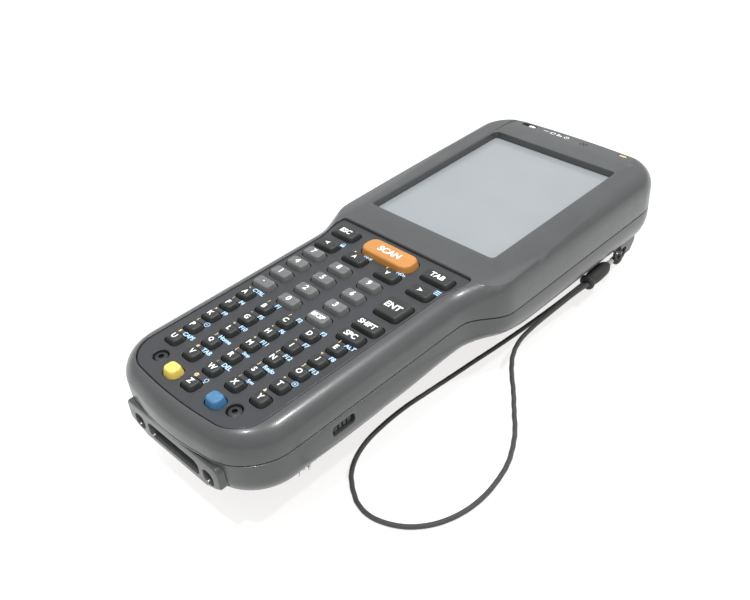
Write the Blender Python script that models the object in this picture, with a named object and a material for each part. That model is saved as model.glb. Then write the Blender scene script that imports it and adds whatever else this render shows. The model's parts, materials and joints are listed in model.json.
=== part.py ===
"""A rugged handheld data collector: a display head, a keypad grip, a hand strap and a wrist lanyard.

Frame: the device lies on its back, keypad up. +Z is up out of the screen, +Y runs from the dock end
to the display head, +X is the right-hand side of the keypad. Z = 0 is the surface it rests on.
Every size below is in millimetres; MM turns it into Blender's metres.
"""

import math

import bmesh
import bpy
from mathutils import Vector

MM = 0.001
GAP = 0.3  # clearance between touching pieces

# Body
HALF_LENGTH = 97.0
GRIP_HALF = 32.0
HEAD_HALF = 37.5
WAIST_START, WAIST_END = -10.0, 10.0
DOCK_END_RADIUS, TOP_END_RADIUS = 17.0, 15.0
DOCK_END_BOW, TOP_END_BOW = 1.4, 0.8  # how far each end bulges beyond its corners
FACE_Z = 38.0
GRIP_SEAM_Z, HEAD_SEAM_Z = 28.4, 24.8
GRIP_FLOOR_Z, HAND_FLOOR_Z, HEAD_FLOOR_Z = 14.0, 15.6, 10.0
WALL = 2.2
ARC_STEPS = 6
SIDE_STATIONS = (-66.0, -44.0, -26.0, -15.0, -9.0, -4.0, 1.0, 6.0, 12.0, 28.0, 55.0)

# Keypad
PANEL_TOP_Z, PANEL_THICK = 37.8, 1.2
PANEL_HALF, PANEL_SHOULDER_HALF = 25.9, 28.0
PANEL_TOP_Y, PANEL_BOTTOM_Y = 0.3, -89.9
LEDGE = 0.55
MAT_Z = (33.6, 34.4)
KEY_FOOT_Z = 35.3
KEY_TAPER, KEY_CROWN = 0.45, 0.25  # how far a key's sides lean in, and its crown beyond that
SMILE = 1.1  # the outer keys of each row sit this much nearer the display
LETTER_ROWS, LETTER_COLUMNS = 5, 5
LETTER_ROW_Y, LETTER_ROW_PITCH = -49.8, 6.68
LETTER_PITCH, LETTER_PITCH_LOSS = 10.1, 0.09
LETTER_SIZE, LETTER_RADIUS = (6.2, 5.2), 1.5
LETTER_RISE = 1.6
LAST_LETTER = (0.1, -83.9)
# name: (x, y, width, depth, corner radius, rise above the panel, colour)
KEYS = {
    "key_esc": (-20.2, -6.0, 10.2, 5.9, 1.6, 1.7, "black_key"),
    "key_scan": (0.2, -6.5, 21.4, 8.4, 3.4, 2.2, "orange_key"),
    "key_tab": (20.0, -6.0, 11.4, 5.8, 1.6, 1.7, "black_key"),
    "key_left": (-20.3, -14.4, 9.0, 5.4, 1.5, 1.6, "black_key"),
    "key_up": (-7.5, -14.4, 9.0, 5.2, 1.5, 1.6, "black_key"),
    "key_down": (6.7, -14.4, 9.0, 5.2, 1.5, 1.6, "black_key"),
    "key_right": (20.5, -14.4, 9.0, 5.4, 1.5, 1.6, "black_key"),
    "key_ent": (20.1, -25.5, 9.8, 9.2, 1.6, 1.8, "black_key"),
    "key_shift": (19.9, -36.0, 10.0, 5.4, 1.6, 1.6, "black_key"),
    "key_spc": (19.6, -42.4, 9.2, 5.2, 1.6, 1.6, "black_key"),
    "key_yellow": (-7.9, -84.2, 5.9, 5.2, 2.0, 1.6, "yellow_key"),
    "key_blue": (10.7, -83.7, 5.9, 5.2, 2.0, 1.6, "blue_key"),
}
DIGIT_ROWS = (("7", "8", "9"), ("4", "5", "6"), ("1", "2", "3"), ("dot", "0", "bksp"))
DIGIT_X = (-19.8, -7.0, 6.2)
DIGIT_ROW_Y, DIGIT_ROW_PITCH = -21.8, 6.97
DIGIT_SIZE, DIGIT_RADIUS, DIGIT_RISE = (8.8, 5.7), 1.6, 1.7
SCREW_X, SCREW_Y, SCREW_RADIUS = 16.9, -82.3, 2.1

# Display
WINDOW_HALF = 26.0
WINDOW_Y = (13.3, 80.7)
GLASS_TOP_Z, GLASS_THICK = 34.2, 1.2
GLASS_SEAT = 3.0  # how far the seat for the glass reaches beyond the window

STATUS_LAMP, CHARGE_LAMP = (-20.5, 92.4, 33.2), (21.0, 92.4, 33.2)  # the inner end of each lamp
LAMP_TILT = (0.0, 0.45, 0.89)

# Battery, dock and strap
BATTERY = ((-22.0, -76.5), (22.0, -34.0))
BATTERY_Z = (13.7, 21.0)
LATCH_Y, LATCH_Z = (-63.0, -54.5), (22.4, 26.0)
DOCK_TOP_Z, DOCK_SIDE_Z, DOCK_BOTTOM_Z = 26.0, 21.0, 15.6
DOCK_HALF_TOP, DOCK_HALF_BOTTOM = 21.5, 15.0
DOCK_TOP_FACE_Y, DOCK_BOTTOM_FACE_Y, DOCK_BACK_Y = -93.8, -95.2, -89.6
DOCK_SLOT_Z = (20.0, 24.4)
DOCK_POCKET_TOP_Z, DOCK_POCKET_Y = 27.4, -92.6  # the pocket that the bezel stands in
WINDOW_SLOT = (18.9, 12.9, 21.9)  # half-width, lowest and highest z of the scan window's opening
VENT_Y = (33.0, 43.0, 53.0)
CASE_SCREWS = ((-26.3, -72.0, 15.3), (26.3, -72.0, 15.3), (-28.5, 66.0, 11.2), (28.5, 66.0, 11.2))
BULGE_HALF = 21.0
BULGE_Y = (32.0, 90.0)
STRAP_HALF, STRAP_THICK, TAIL_THICK = 18.0, 2.4, 1.2
PIN_RADIUS = 1.2
UPPER_PIN, LOWER_PIN = (24.0, 5.6), (-81.0, 13.0)
PIN_RECESS_Y, PIN_RECESS_Z = (-84.4, -78.2), 17.0  # the strap turns round the lower pin in this recess
LUG_HOLE = (80.4, 9.6)

# Lanyard
CORD_DIAMETER = 1.6
CORD_STEP = 4.6
CAPSULE_RADIUS = 2.8
CAPSULE_MOUTH, NECK, LOOP = (35.0, 54.0, 9.6), (34.7, 68.4, 10.0), (35.1, 80.4, 9.6)
CORD_ROUTE = [
    (35.9, 53.7, 10.0), (35.0, 46.0, 9.3), (34.2, 36.0, 8.2), (33.8, 26.0, 7.4), (34.6, 17.0, 7.0),
    (37.2, 10.0, 6.6), (41.4, 4.0, 5.7), (46.0, -1.0, 4.3), (51.0, -7.0, 2.6), (55.2, -12.0, 1.4),
    (58.6, -17.5, 0.9), (61.6, -24.0, 0.85), (63.3, -31.0, 0.85), (64.0, -37.5, 0.85), (63.6, -44.0, 0.85),
    (62.0, -50.0, 0.85), (59.4, -55.0, 0.85), (55.2, -59.6, 0.85), (50.0, -62.6, 0.85), (44.6, -63.9, 0.85),
    (39.4, -63.1, 0.85), (34.4, -60.4, 0.95), (29.9, -56.6, 1.2), (26.5, -51.4, 1.1), (24.0, -44.5, 0.85),
    (22.9, -36.0, 0.85), (22.7, -26.0, 0.85), (23.5, -16.0, 0.85), (24.4, -6.0, 0.85), (25.3, 5.0, 0.85),
    (26.6, 15.0, 1.3), (28.4, 25.0, 2.7), (30.6, 35.0, 4.9), (32.6, 44.5, 7.2), (34.1, 53.7, 9.2),
]

COLOURS = {
    # name: (base colour, metallic, roughness)
    "dark_shell": ((0.075, 0.078, 0.078, 1), 0.0, 0.42),
    "panel_film": ((0.05, 0.05, 0.055, 1), 0.0, 0.5),
    "black_key": ((0.03, 0.03, 0.03, 1), 0.0, 0.5),
    "grey_key": ((0.2, 0.2, 0.2, 1), 0.0, 0.5),
    "orange_key": ((0.75, 0.28, 0.07, 1), 0.0, 0.45),
    "yellow_key": ((0.8, 0.6, 0.12, 1), 0.0, 0.45),
    "blue_key": ((0.1, 0.3, 0.6, 1), 0.0, 0.45),
    "black_rubber": ((0.02, 0.02, 0.02, 1), 0.0, 0.8),
    "screen_glass": ((0.5, 0.54, 0.57, 1), 0.0, 0.15),
    "red_window": ((0.06, 0.005, 0.008, 1), 0.0, 0.08),
    "circuit_board": ((0.01, 0.12, 0.05, 1), 0.0, 0.5),
    "steel": ((0.55, 0.55, 0.57, 1), 1.0, 0.3),
    "gold_contact": ((0.8, 0.6, 0.25, 1), 1.0, 0.3),
    "clear_lens": ((0.9, 0.9, 0.9, 1), 0.0, 0.2),
    "amber_lens": ((0.85, 0.55, 0.15, 1), 0.0, 0.25),
    "webbing": ((0.02, 0.02, 0.02, 1), 0.0, 0.9),
    "cord": ((0.03, 0.03, 0.03, 1), 0.0, 0.7),
}


def material(name):
    """The Principled material of this name, made the first time it is asked for."""
    if name in bpy.data.materials:
        return bpy.data.materials[name]
    colour, metallic, roughness = COLOURS[name]
    made = bpy.data.materials.new(name)
    made.use_nodes = True
    shader = made.node_tree.nodes["Principled BSDF"]
    shader.inputs["Base Color"].default_value = colour
    shader.inputs["Metallic"].default_value = metallic
    shader.inputs["Roughness"].default_value = roughness
    return made


def place(name, mesh, colour, smooth=True):
    """Link a mesh as a named sub-part."""
    made = bpy.data.objects.new(name, mesh)
    bpy.context.scene.collection.objects.link(made)
    mesh.materials.append(material(colour))
    if smooth:
        mesh.shade_smooth()
        mesh.set_sharp_from_angle(angle=math.radians(35))
    return made


def smooth_step(value, start, end):
    t = min(1.0, max(0.0, (value - start) / (end - start)))
    return t * t * (3 - 2 * t)


def blend(grip, head, y):
    """A value that is one thing along the grip and another along the head."""
    return grip + (head - grip) * smooth_step(y, WAIST_START, WAIST_END)


def floor_z(y):
    """Height of the rear cover's underside: thinnest where the fingers go, deepest under the head."""
    fingers = (HAND_FLOOR_Z - GRIP_FLOOR_Z) * smooth_step(y, -34.0, -14.0)
    return GRIP_FLOOR_Z + fingers + (HEAD_FLOOR_Z - HAND_FLOOR_Z) * smooth_step(y, -4.0, 22.0)


def arc(centre, radius, start, end, steps=ARC_STEPS):
    """Points on a circular arc, its angles in degrees."""
    angles = [math.radians(start + (end - start) * i / steps) for i in range(steps + 1)]
    return [(centre[0] + radius * math.cos(a), centre[1] + radius * math.sin(a)) for a in angles]


def body_ring(grip_inset, head_inset, height, lean=0.0):
    """A closed ring round the body: the plan outline moved in by the insets, at height(y).

    It runs up the right side from the dock end's middle to the top end's middle and back down the
    left side, so the point opposite number i is number -i.
    """
    bottom, half = -HALF_LENGTH + grip_inset + lean, GRIP_HALF - grip_inset
    radius = max(DOCK_END_RADIUS - grip_inset, 4.0)
    right = [(0.0, bottom), ((half - radius) / 2, bottom + DOCK_END_BOW / 4)]
    right += arc((half - radius, bottom + DOCK_END_BOW + radius), radius, -80, 0)
    for y in SIDE_STATIONS:
        right.append((blend(GRIP_HALF, HEAD_HALF, y) - blend(grip_inset, head_inset, y), y))
    top, half = HALF_LENGTH - head_inset, HEAD_HALF - head_inset
    radius = max(TOP_END_RADIUS - head_inset, 4.0)
    right += arc((half - radius, top - TOP_END_BOW - radius), radius, 0, 84)
    right += [((half - radius) / 2, top - TOP_END_BOW / 4), (0.0, top)]
    ring = [(x, y, height(y)) for x, y in right]
    return ring + [(-x, y, z) for x, y, z in reversed(ring[1:-1])]


def loft(rings, strips=False):
    """A closed mesh through rings of equal length, outward if they climb while turning anticlockwise.

    strips closes each end with strips across the body, which suits an end that isn't flat.
    """
    mesh = bpy.data.meshes.new("loft")
    build = bmesh.new()
    rows = [[build.verts.new(Vector(point) * MM) for point in ring] for ring in rings]
    count = len(rows[0])
    for low, high in zip(rows, rows[1:]):
        for i in range(count):
            j = (i + 1) % count
            build.faces.new((low[i], low[j], high[j], high[i]))
    for row, turned in ((rows[0], True), (rows[-1], False)):
        if not strips:
            build.faces.new(list(reversed(row)) if turned else row)
            continue
        for i in range(count // 2):
            corners = list(dict.fromkeys((row[i], row[i + 1], row[-i - 1], row[-i])))
            build.faces.new(list(reversed(corners)) if turned else corners)
    bmesh.ops.recalc_face_normals(build, faces=build.faces)
    build.to_mesh(mesh)
    build.free()
    return mesh


def rounded(centre, size, radius, steps=2):
    """A rounded rectangle, anticlockwise."""
    x, y = centre
    across, up = size[0] / 2 - radius, size[1] / 2 - radius
    points = arc((x + across, y - up), radius, -90, 0, steps)
    points += arc((x + across, y + up), radius, 0, 90, steps)
    points += arc((x - across, y + up), radius, 90, 180, steps)
    return points + arc((x - across, y - up), radius, 180, 270, steps)


def at_height(points, z):
    return [(x, y, z) for x, y in points]


def grown(points, distance):
    """A convex outline moved outwards by a distance; a negative one moves it in."""
    moved = []
    for i, (x, y) in enumerate(points):
        ahead, behind = points[(i + 1) % len(points)], points[i - 1]
        normal = Vector((ahead[1] - behind[1], behind[0] - ahead[0])).normalized()
        moved.append((x + normal.x * distance, y + normal.y * distance))
    return moved


def prism(points, low, high):
    return loft([at_height(points, low), at_height(points, high)])


def block(low, high):
    corners = [(low[0], low[1]), (high[0], low[1]), (high[0], high[1]), (low[0], high[1])]
    return prism(corners, low[2], high[2])


def rod(start, end, radius, sides=12):
    """A round rod between two points."""
    start, end = Vector(start), Vector(end)
    turn = (end - start).to_track_quat("Z", "Y").to_matrix()
    rings = []
    for centre in (start, end):
        ring = arc((0, 0), radius, 0, 360 - 360 / sides, sides - 1)
        rings.append([tuple(centre + turn @ Vector((x, y, 0))) for x, y in ring])
    return loft(rings)


def turned(profile, start, direction, sides=12):
    """A solid of revolution: profile is (distance along the axis, radius) pairs."""
    turn = Vector(direction).to_track_quat("Z", "Y").to_matrix()
    rings = []
    for along, radius in profile:
        ring = arc((0, 0), radius, 0, 360 - 360 / sides, sides - 1)
        rings.append([tuple(Vector(start) + turn @ Vector((x, y, along))) for x, y in ring])
    return loft(rings)


def combine(target, meshes, operation):
    """Cut closed meshes from an object, or add them to it. Each is a hidden helper."""
    for number, mesh in enumerate(meshes):
        helper = bpy.data.objects.new(f"{target.name}_{operation.lower()}_{number}", mesh)
        bpy.context.scene.collection.objects.link(helper)
        helper.hide_render = True
        helper.display_type = "WIRE"
        modifier = target.modifiers.new(helper.name, "BOOLEAN")
        modifier.operation = operation
        modifier.object = helper


def joined(meshes):
    """Several closed meshes that don't touch, as one cutter mesh."""
    build = bmesh.new()
    for mesh in meshes:
        build.from_mesh(mesh)
    result = bpy.data.meshes.new("joined")
    build.to_mesh(result)
    build.free()
    return result


# ---------------------------------------------------------------- outlines


def panel_half(y):
    return PANEL_HALF + (PANEL_SHOULDER_HALF - PANEL_HALF) * smooth_step(y, -13.0, -3.0)


def panel_outline(inset=0.0):
    """The keypad panel: square shoulders under the display, round corners and a bowed lower edge."""
    radius, half = 10.0 - inset, PANEL_HALF - inset
    bottom = PANEL_BOTTOM_Y + inset
    right = [(0.0, bottom), (half - radius, bottom + 0.9)]
    right += arc((half - radius, bottom + 0.9 + radius), radius, -75, 0, 5)
    right += [(panel_half(y) - inset, y) for y in (-44.0, -13.0, -9.5, -6.5)]
    shoulder = PANEL_SHOULDER_HALF - inset
    right += [(shoulder, PANEL_TOP_Y - 1.2), (shoulder - 1.0, PANEL_TOP_Y - inset)]
    return right + [(-x, y) for x, y in reversed(right[1:])]


def smile(x):
    return SMILE * (x / 20.0) ** 2


def letter_places():
    places = []
    for row in range(LETTER_ROWS):
        for column in range(LETTER_COLUMNS):
            x = (column - 2) * (LETTER_PITCH - LETTER_PITCH_LOSS * row)
            places.append((x, LETTER_ROW_Y - LETTER_ROW_PITCH * row + smile(x)))
    return places + [LAST_LETTER]


def key_table():
    """Every separate key: name, centre, size, corner radius, rise and colour."""
    table = [(name, (x, y), (w, d), r, rise, c) for name, (x, y, w, d, r, rise, c) in KEYS.items()]
    for row, names in enumerate(DIGIT_ROWS):
        for x, name in zip(DIGIT_X, names):
            centre = (x, DIGIT_ROW_Y - DIGIT_ROW_PITCH * row + smile(x))
            table.append((f"key_{name}", centre, DIGIT_SIZE, DIGIT_RADIUS, DIGIT_RISE, "grey_key"))
    return table


def key_mesh(centre, size, radius, foot, top):
    """A key: straight below the panel's face, leaning in above it, with a chamfered crown."""
    outline = rounded(centre, size, radius)
    rings = [
        at_height(outline, foot),
        at_height(outline, PANEL_TOP_Z - 0.2),
        at_height(grown(outline, -KEY_TAPER), top - 0.4),
        at_height(grown(outline, -KEY_TAPER - KEY_CROWN), top),
    ]
    return loft(rings)


# ---------------------------------------------------------------- covers


def seam_z(y):
    return blend(GRIP_SEAM_Z, HEAD_SEAM_Z, y)


def front_cover():
    face = lambda y: FACE_Z
    ceiling = lambda y: FACE_Z - 3.2
    low = lambda y: seam_z(y) + GAP / 2
    rings = [
        body_ring(6.0, 5.0, ceiling),
        body_ring(3.4, 3.2, lambda y: FACE_Z - 5.4),
        body_ring(WALL + 0.2, WALL + 0.2, low),
        body_ring(0.15, 0.15, low),
        body_ring(0.0, 0.0, lambda y: blend(FACE_Z - 5.2, FACE_Z - 7.5, y)),
        body_ring(1.2, 0.6, lambda y: FACE_Z - 3.0),
        body_ring(2.9, 1.8, lambda y: blend(FACE_Z - 1.2, FACE_Z - 1.0, y)),
        body_ring(4.9, 3.6, face),
    ]
    cover = place("front_cover", loft(rings, strips=True), "dark_shell")
    window = [(-WINDOW_HALF, WINDOW_Y[0], FACE_Z - 6), (WINDOW_HALF, WINDOW_Y[1], FACE_Z + 4)]
    seat = WINDOW_HALF + GLASS_SEAT
    glass_seat = [(-seat, WINDOW_Y[0] - GLASS_SEAT, FACE_Z - 6), (seat, WINDOW_Y[1] + GLASS_SEAT, 35.6)]
    pocket_floor = PANEL_TOP_Z - PANEL_THICK - GAP
    cuts = [
        prism(grown(panel_outline(), GAP), pocket_floor, FACE_Z + 3),
        prism(panel_outline(LEDGE), pocket_floor - 6, FACE_Z + 2),
        block(*window),
        block(*glass_seat),
        turned([(-0.5, 1.8 + GAP), (9.0, 1.8 + GAP)], STATUS_LAMP, LAMP_TILT, 10),
        turned([(-0.5, 1.1 + GAP), (9.0, 1.1 + GAP)], CHARGE_LAMP, LAMP_TILT, 10),
    ]
    combine(cover, cuts, "DIFFERENCE")
    return cover


def rear_cover():
    high = lambda y: seam_z(y) - GAP / 2
    drop = lambda grip, head: lambda y: blend(FACE_Z - grip, FACE_Z - head, y)
    inner_floor = lambda y: floor_z(y) + WALL
    outside = [
        body_ring(0.15, 0.15, high),
        body_ring(0.0, 0.0, drop(14.5, 16.0), 1.4),
        body_ring(0.5, 0.6, drop(18.0, 19.6), 2.6),
        body_ring(2.4, 2.8, lambda y: floor_z(y) + blend(3.0, 4.8, y), 3.2),
        body_ring(5.2, 6.2, lambda y: floor_z(y) + blend(0.8, 1.4, y), 3.6),
        body_ring(9.0, 10.5, floor_z, 4.0),
    ]
    inside = [
        body_ring(WALL + 0.2, WALL + 0.2, high),
        body_ring(WALL + 0.6, WALL + 0.8, drop(17.6, 19.2), 2.6),
        body_ring(5.2, 6.2, lambda y: inner_floor(y) + blend(1.4, 2.2, y), 3.8),
        body_ring(9.5, 11.0, inner_floor, 4.4),
    ]
    shell = loft(list(reversed(outside)) + inside, strips=True)
    cover = place("rear_cover", shell, "dark_shell")
    combine(cover, [engine_bulge(), lanyard_lug(), pin_housing(), joined(strap_lugs())], "UNION")
    (x0, y0), (x1, y1) = BATTERY
    openings = [block((x0 - GAP, y0 - GAP, 8.0), (x1 + GAP, y1 + GAP, BATTERY_Z[1] - 2.0))]
    openings.append(dock_prism(grown(dock_outline(), GAP), -105.0, DOCK_BACK_Y + 2.2))
    low, high = PIN_RECESS_Y
    openings.append(block((-STRAP_HALF - 0.7, low, 8.0), (STRAP_HALF + 0.7, high, PIN_RECESS_Z)))
    half, low, high_z = WINDOW_SLOT
    openings.append(block((-half, 90.0, low), (half, 105.0, high_z)))
    for side in (-1, 1):
        x = sorted((side * 25.0, side * 40.0))
        openings.append(block((x[0], LATCH_Y[0], LATCH_Z[0]), (x[1], LATCH_Y[1], LATCH_Z[1])))
        for y in VENT_Y:
            x = sorted((side * 30.6, side * 38.0))
            openings.append(block((x[0], y - 1.7, 8.0), (x[1], y + 1.7, 12.6)))
    for x, y, z in CASE_SCREWS:
        openings.append(rod((x, y, 5.0), (x, y, z + 9.0), 2.3, 10))
    combine(cover, [engine_hollow(), dock_pocket(), joined(openings)], "DIFFERENCE")
    pins = [rod((-26.0, y, z), (26.0, y, z), PIN_RADIUS + 0.1, 12) for y, z in (UPPER_PIN, LOWER_PIN)]
    pins.append(rod((29.0, LUG_HOLE[0], LUG_HOLE[1]), (37.0, LUG_HOLE[0], LUG_HOLE[1]), 1.3, 10))
    combine(cover, [joined(pins)], "DIFFERENCE")
    return cover


def bulge_ring(inset, z):
    low, high = BULGE_Y
    size = (2 * (BULGE_HALF - inset), high - low - 2 * inset)
    return at_height(rounded((0.0, (low + high) / 2), size, 7.0 - inset / 2), z)


def engine_bulge():
    """The housing on the head's back that the device rests on."""
    return loft([bulge_ring(5.0, 0.0), bulge_ring(3.4, 0.8), bulge_ring(0.0, 8.0), bulge_ring(-0.6, 11.5)])


def engine_hollow():
    return loft([bulge_ring(7.0, 2.4), bulge_ring(3.0, 9.0), bulge_ring(2.4, 14.0)])


def ear(outline, x0, x1):
    """A plate of this (y, z) outline, from x0 to x1."""
    return loft([[(x, y, z) for y, z in outline] for x in sorted((x0, x1))])


def strap_lugs():
    """The four ears that hold the strap's two pins."""
    ears = []
    for side in (-1, 1):
        near, far = side * (STRAP_HALF + 0.8), side * (STRAP_HALF + 3.4)
        y, z = UPPER_PIN
        upper = [(y - 3, z - 1), (y - 1, z - 2.6), (y + 2, z - 2.6), (y + 6, 12.0), (y - 4, 12.0)]
        y, z = LOWER_PIN
        lower = [(y - 2.2, z - 0.4), (y - 1, z - 1.9), (y + 1, z - 1.9), (y + 2.6, 15.6), (y - 2.4, 15.6)]
        ears += [ear(upper, near, far), ear(lower, near, far)]
    return ears


def pin_housing():
    """The box inside the cover that closes the lower pin's recess."""
    near, far = PIN_RECESS_Y
    half = STRAP_HALF + 2.6
    return block((-half, near - 1.2, GRIP_FLOOR_Z + 1.2), (half, far + 0.6, PIN_RECESS_Z + 1.6))


def dock_pocket():
    """The pocket at the dock end that the charging socket's bezel stands in."""
    top = DOCK_POCKET_TOP_Z
    right = [(18.5, 8.0), (18.5, 15.0), (24.4, 20.6), (24.4, top - 2.0), (22.4, top)]
    return dock_prism(right + [(-x, z) for x, z in reversed(right)], -105.0, DOCK_POCKET_Y)


def lanyard_lug():
    y, z = LUG_HOLE
    outline = [(y - 2.6, z + 1), (y - 2, z - 1.6), (y - 0.6, z - 2.4), (y + 4, z - 2.2), (y + 6.4, z + 1)]
    return ear(outline + [(y + 6.4, 13.2), (y - 2.6, 13.2)], 31.2, 33.8)


def cover_seal():
    """The rubber cord squeezed between the covers: a square ring swept round the body."""
    build = bmesh.new()
    rows = []
    for inset, rise in ((2.8, -1.1), (2.8, 1.1), (4.0, 1.1), (4.0, -1.1)):
        ring = body_ring(inset, inset, lambda y, rise=rise: seam_z(y) + rise)
        rows.append([build.verts.new(Vector(point) * MM) for point in ring])
    for low, high in zip(rows, rows[1:] + rows[:1]):
        for i in range(len(low)):
            j = (i + 1) % len(low)
            build.faces.new((low[i], low[j], high[j], high[i]))
    bmesh.ops.recalc_face_normals(build, faces=build.faces)
    mesh = bpy.data.meshes.new("seal")
    build.to_mesh(mesh)
    build.free()
    return place("cover_seal", mesh, "black_rubber")


# ---------------------------------------------------------------- keypad and display


def keypad():
    plate = prism(panel_outline(), PANEL_TOP_Z - PANEL_THICK, PANEL_TOP_Z)
    panel = place("keypad_panel", plate, "panel_film", smooth=False)
    holes = []
    for centre in letter_places():
        holes.append(prism(rounded(centre, [s + 2 * GAP for s in LETTER_SIZE], LETTER_RADIUS, 1), 34.0, 41.0))
    for name, centre, size, radius, rise, colour in key_table():
        outline = rounded(centre, [s + 2 * GAP for s in size], radius)
        holes.append(prism(outline, 34.0, 41.0))
        place(name, key_mesh(centre, size, radius, KEY_FOOT_Z, PANEL_TOP_Z + rise), colour)
    for side in (-1, 1):
        x, foot, up = side * SCREW_X, (side * SCREW_X, SCREW_Y, 0.0), (0, 0, 1)
        holes.append(rod((x, SCREW_Y, 34.0), (x, SCREW_Y, 41.0), SCREW_RADIUS + GAP))
        profile = [(30.6, 0.9), (35.9, 0.9), (36.0, SCREW_RADIUS), (37.4, SCREW_RADIUS), (37.6, 1.7)]
        name = "panel_screw_left" if side < 0 else "panel_screw_right"
        made = place(name, turned(profile, foot, up), "steel")
        combine(made, [turned([(36.6, 0.9), (39.0, 0.9)], foot, up, 6)], "DIFFERENCE")
    combine(panel, [joined(holes)], "DIFFERENCE")

    mat = place("keypad_mat", prism(panel_outline(0.2), *MAT_Z), "black_rubber")
    posts = []
    for centre in letter_places():
        outline = rounded(centre, LETTER_SIZE, LETTER_RADIUS, 1)
        top = PANEL_TOP_Z + LETTER_RISE
        posts.append(loft([
            at_height(outline, MAT_Z[0] + 0.3),
            at_height(outline, PANEL_TOP_Z - 0.2),
            at_height(grown(outline, -KEY_TAPER), top - 0.4),
            at_height(grown(outline, -KEY_TAPER - KEY_CROWN), top),
        ]))
    combine(mat, [joined(posts)], "UNION")
    shanks = [rod((x, SCREW_Y, 30.0), (x, SCREW_Y, 36.0), 1.6) for x in (-SCREW_X, SCREW_X)]
    combine(mat, [joined(shanks)], "DIFFERENCE")
    place("keypad_board", block((-24.0, -81.0, 31.9), (24.0, -4.0, 33.1)), "circuit_board")


def display():
    low, high = WINDOW_Y
    middle = (low + high) / 2
    glass_size = (2 * WINDOW_HALF + 4.0, high - low + 4.0)
    glass = prism(rounded((0, middle), glass_size, 1.0, 1), GLASS_TOP_Z - GLASS_THICK, GLASS_TOP_Z)
    place("touch_panel", glass, "screen_glass")
    frame = prism(rounded((0, middle), glass_size, 1.0, 1), GLASS_TOP_Z + GAP, 35.3)
    gasket = place("display_gasket", frame, "black_rubber")
    half = WINDOW_HALF + 0.1
    combine(gasket, [block((-half, low - 0.1, 30), (half, high + 0.1, 40))], "DIFFERENCE")
    lcd_top = GLASS_TOP_Z - GLASS_THICK - GAP
    place("lcd_module", block((-26.5, 10.6, 28.6), (26.5, 81.0, lcd_top)), "steel")


def indicators():
    """The two lamps on the top shoulder."""
    white = turned([(0.0, 1.4), (0.3, 1.8), (4.6, 1.8), (4.9, 1.3)], STATUS_LAMP, LAMP_TILT, 10)
    amber = turned([(0.0, 0.8), (0.3, 1.1), (4.7, 1.1), (4.9, 0.7)], CHARGE_LAMP, LAMP_TILT, 10)
    place("status_lamp", white, "clear_lens")
    place("charge_lamp", amber, "amber_lens")


# ---------------------------------------------------------------- what the covers hold


def internals():
    place("main_board", block((-27.0, -30.0, 22.8), (27.0, 82.0, 24.2)), "circuit_board")
    place("scan_engine", block((-14.0, 66.0, 12.9), (14.0, 85.0, 21.8)), "black_key")
    half, low, high = WINDOW_SLOT
    pane = block((-half + GAP, 93.4, low + GAP), (half - GAP, 95.0, high - GAP))
    place("scan_window", pane, "red_window")
    profile = [(0, 6.0), (0.4, 6.5), (3.0, 6.5), (3.4, 6.0)]
    place("speaker", turned(profile, (0, 46.0, 2.7), (0, 0, 1)), "steel")
    place("radio_module", block((-22.0, 28.0, 18.4), (-4.0, 58.0, 22.5)), "steel")
    cell = turned([(0, 5.0), (0.3, 5.3), (2.4, 5.3), (2.7, 5.0)], (16.0, 30.0, 19.8), (0, 0, 1))
    place("backup_cell", cell, "steel")
    (x0, y0), (x1, y1) = BATTERY
    pack = rounded(((x0 + x1) / 2, (y0 + y1) / 2), (x1 - x0, y1 - y0), 2.0)
    low, high = BATTERY_Z
    rings = [at_height(grown(pack, -0.6), low), at_height(pack, low + 0.6), at_height(pack, high)]
    place("battery_pack", loft(rings), "dark_shell")
    place("battery_contacts", block((-7.0, -33.0, 16.8), (7.0, -30.6, 22.5)), "gold_contact")


def latches():
    """The two battery latches: each presses in through a slot in the side of the grip."""
    for side, name in ((-1, "battery_latch_left"), (1, "battery_latch_right")):
        x = sorted((side * 26.4, side * 31.2))
        low = (x[0], LATCH_Y[0] + GAP, LATCH_Z[0] + GAP)
        high = (x[1], LATCH_Y[1] - GAP, LATCH_Z[1] - GAP)
        place(name, block(low, high), "black_key")


def dock_outline():
    """The charging socket's bezel from behind: (x, z), narrower at its foot."""
    side, foot = DOCK_HALF_TOP, DOCK_HALF_BOTTOM
    right = [(foot, DOCK_BOTTOM_Z), (foot + 4.0, DOCK_BOTTOM_Z + 1.8), (side, DOCK_SIDE_Z)]
    right += [(side, DOCK_TOP_Z - 1.5), (side - 1.5, DOCK_TOP_Z)]
    return right + [(-x, z) for x, z in reversed(right)]


def dock_prism(outline, front, back):
    """A plate of an (x, z) outline; front is one y, or a pair for a face that leans in towards its foot."""
    if isinstance(front, float):
        front = (front, front)
    slope = (front[0] - front[1]) / (DOCK_TOP_Z - DOCK_BOTTOM_Z)
    face = [(x, front[1] + slope * (z - DOCK_BOTTOM_Z), z) for x, z in outline]
    return loft([[(x, back, z) for x, z in outline], face])


def dock():
    """The charging socket's bezel on the lower end, and the contact block behind it."""
    plate = dock_prism(dock_outline(), (DOCK_TOP_FACE_Y, DOCK_BOTTOM_FACE_Y), DOCK_BACK_Y)
    bezel = place("dock_bezel", plate, "dark_shell")
    low, high = DOCK_SLOT_Z
    spans = ((-11.5, 11.5), (-18.0, -14.2), (14.2, 18.0))
    slots = [block((x0, -110.0, low), (x1, -85.0, high)) for x0, x1 in spans]
    combine(bezel, [joined(slots)], "DIFFERENCE")
    contacts = block((-12.5, DOCK_BACK_Y + GAP, low), (12.5, -86.6, high + 0.4))
    place("dock_connector", contacts, "gold_contact")


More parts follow.
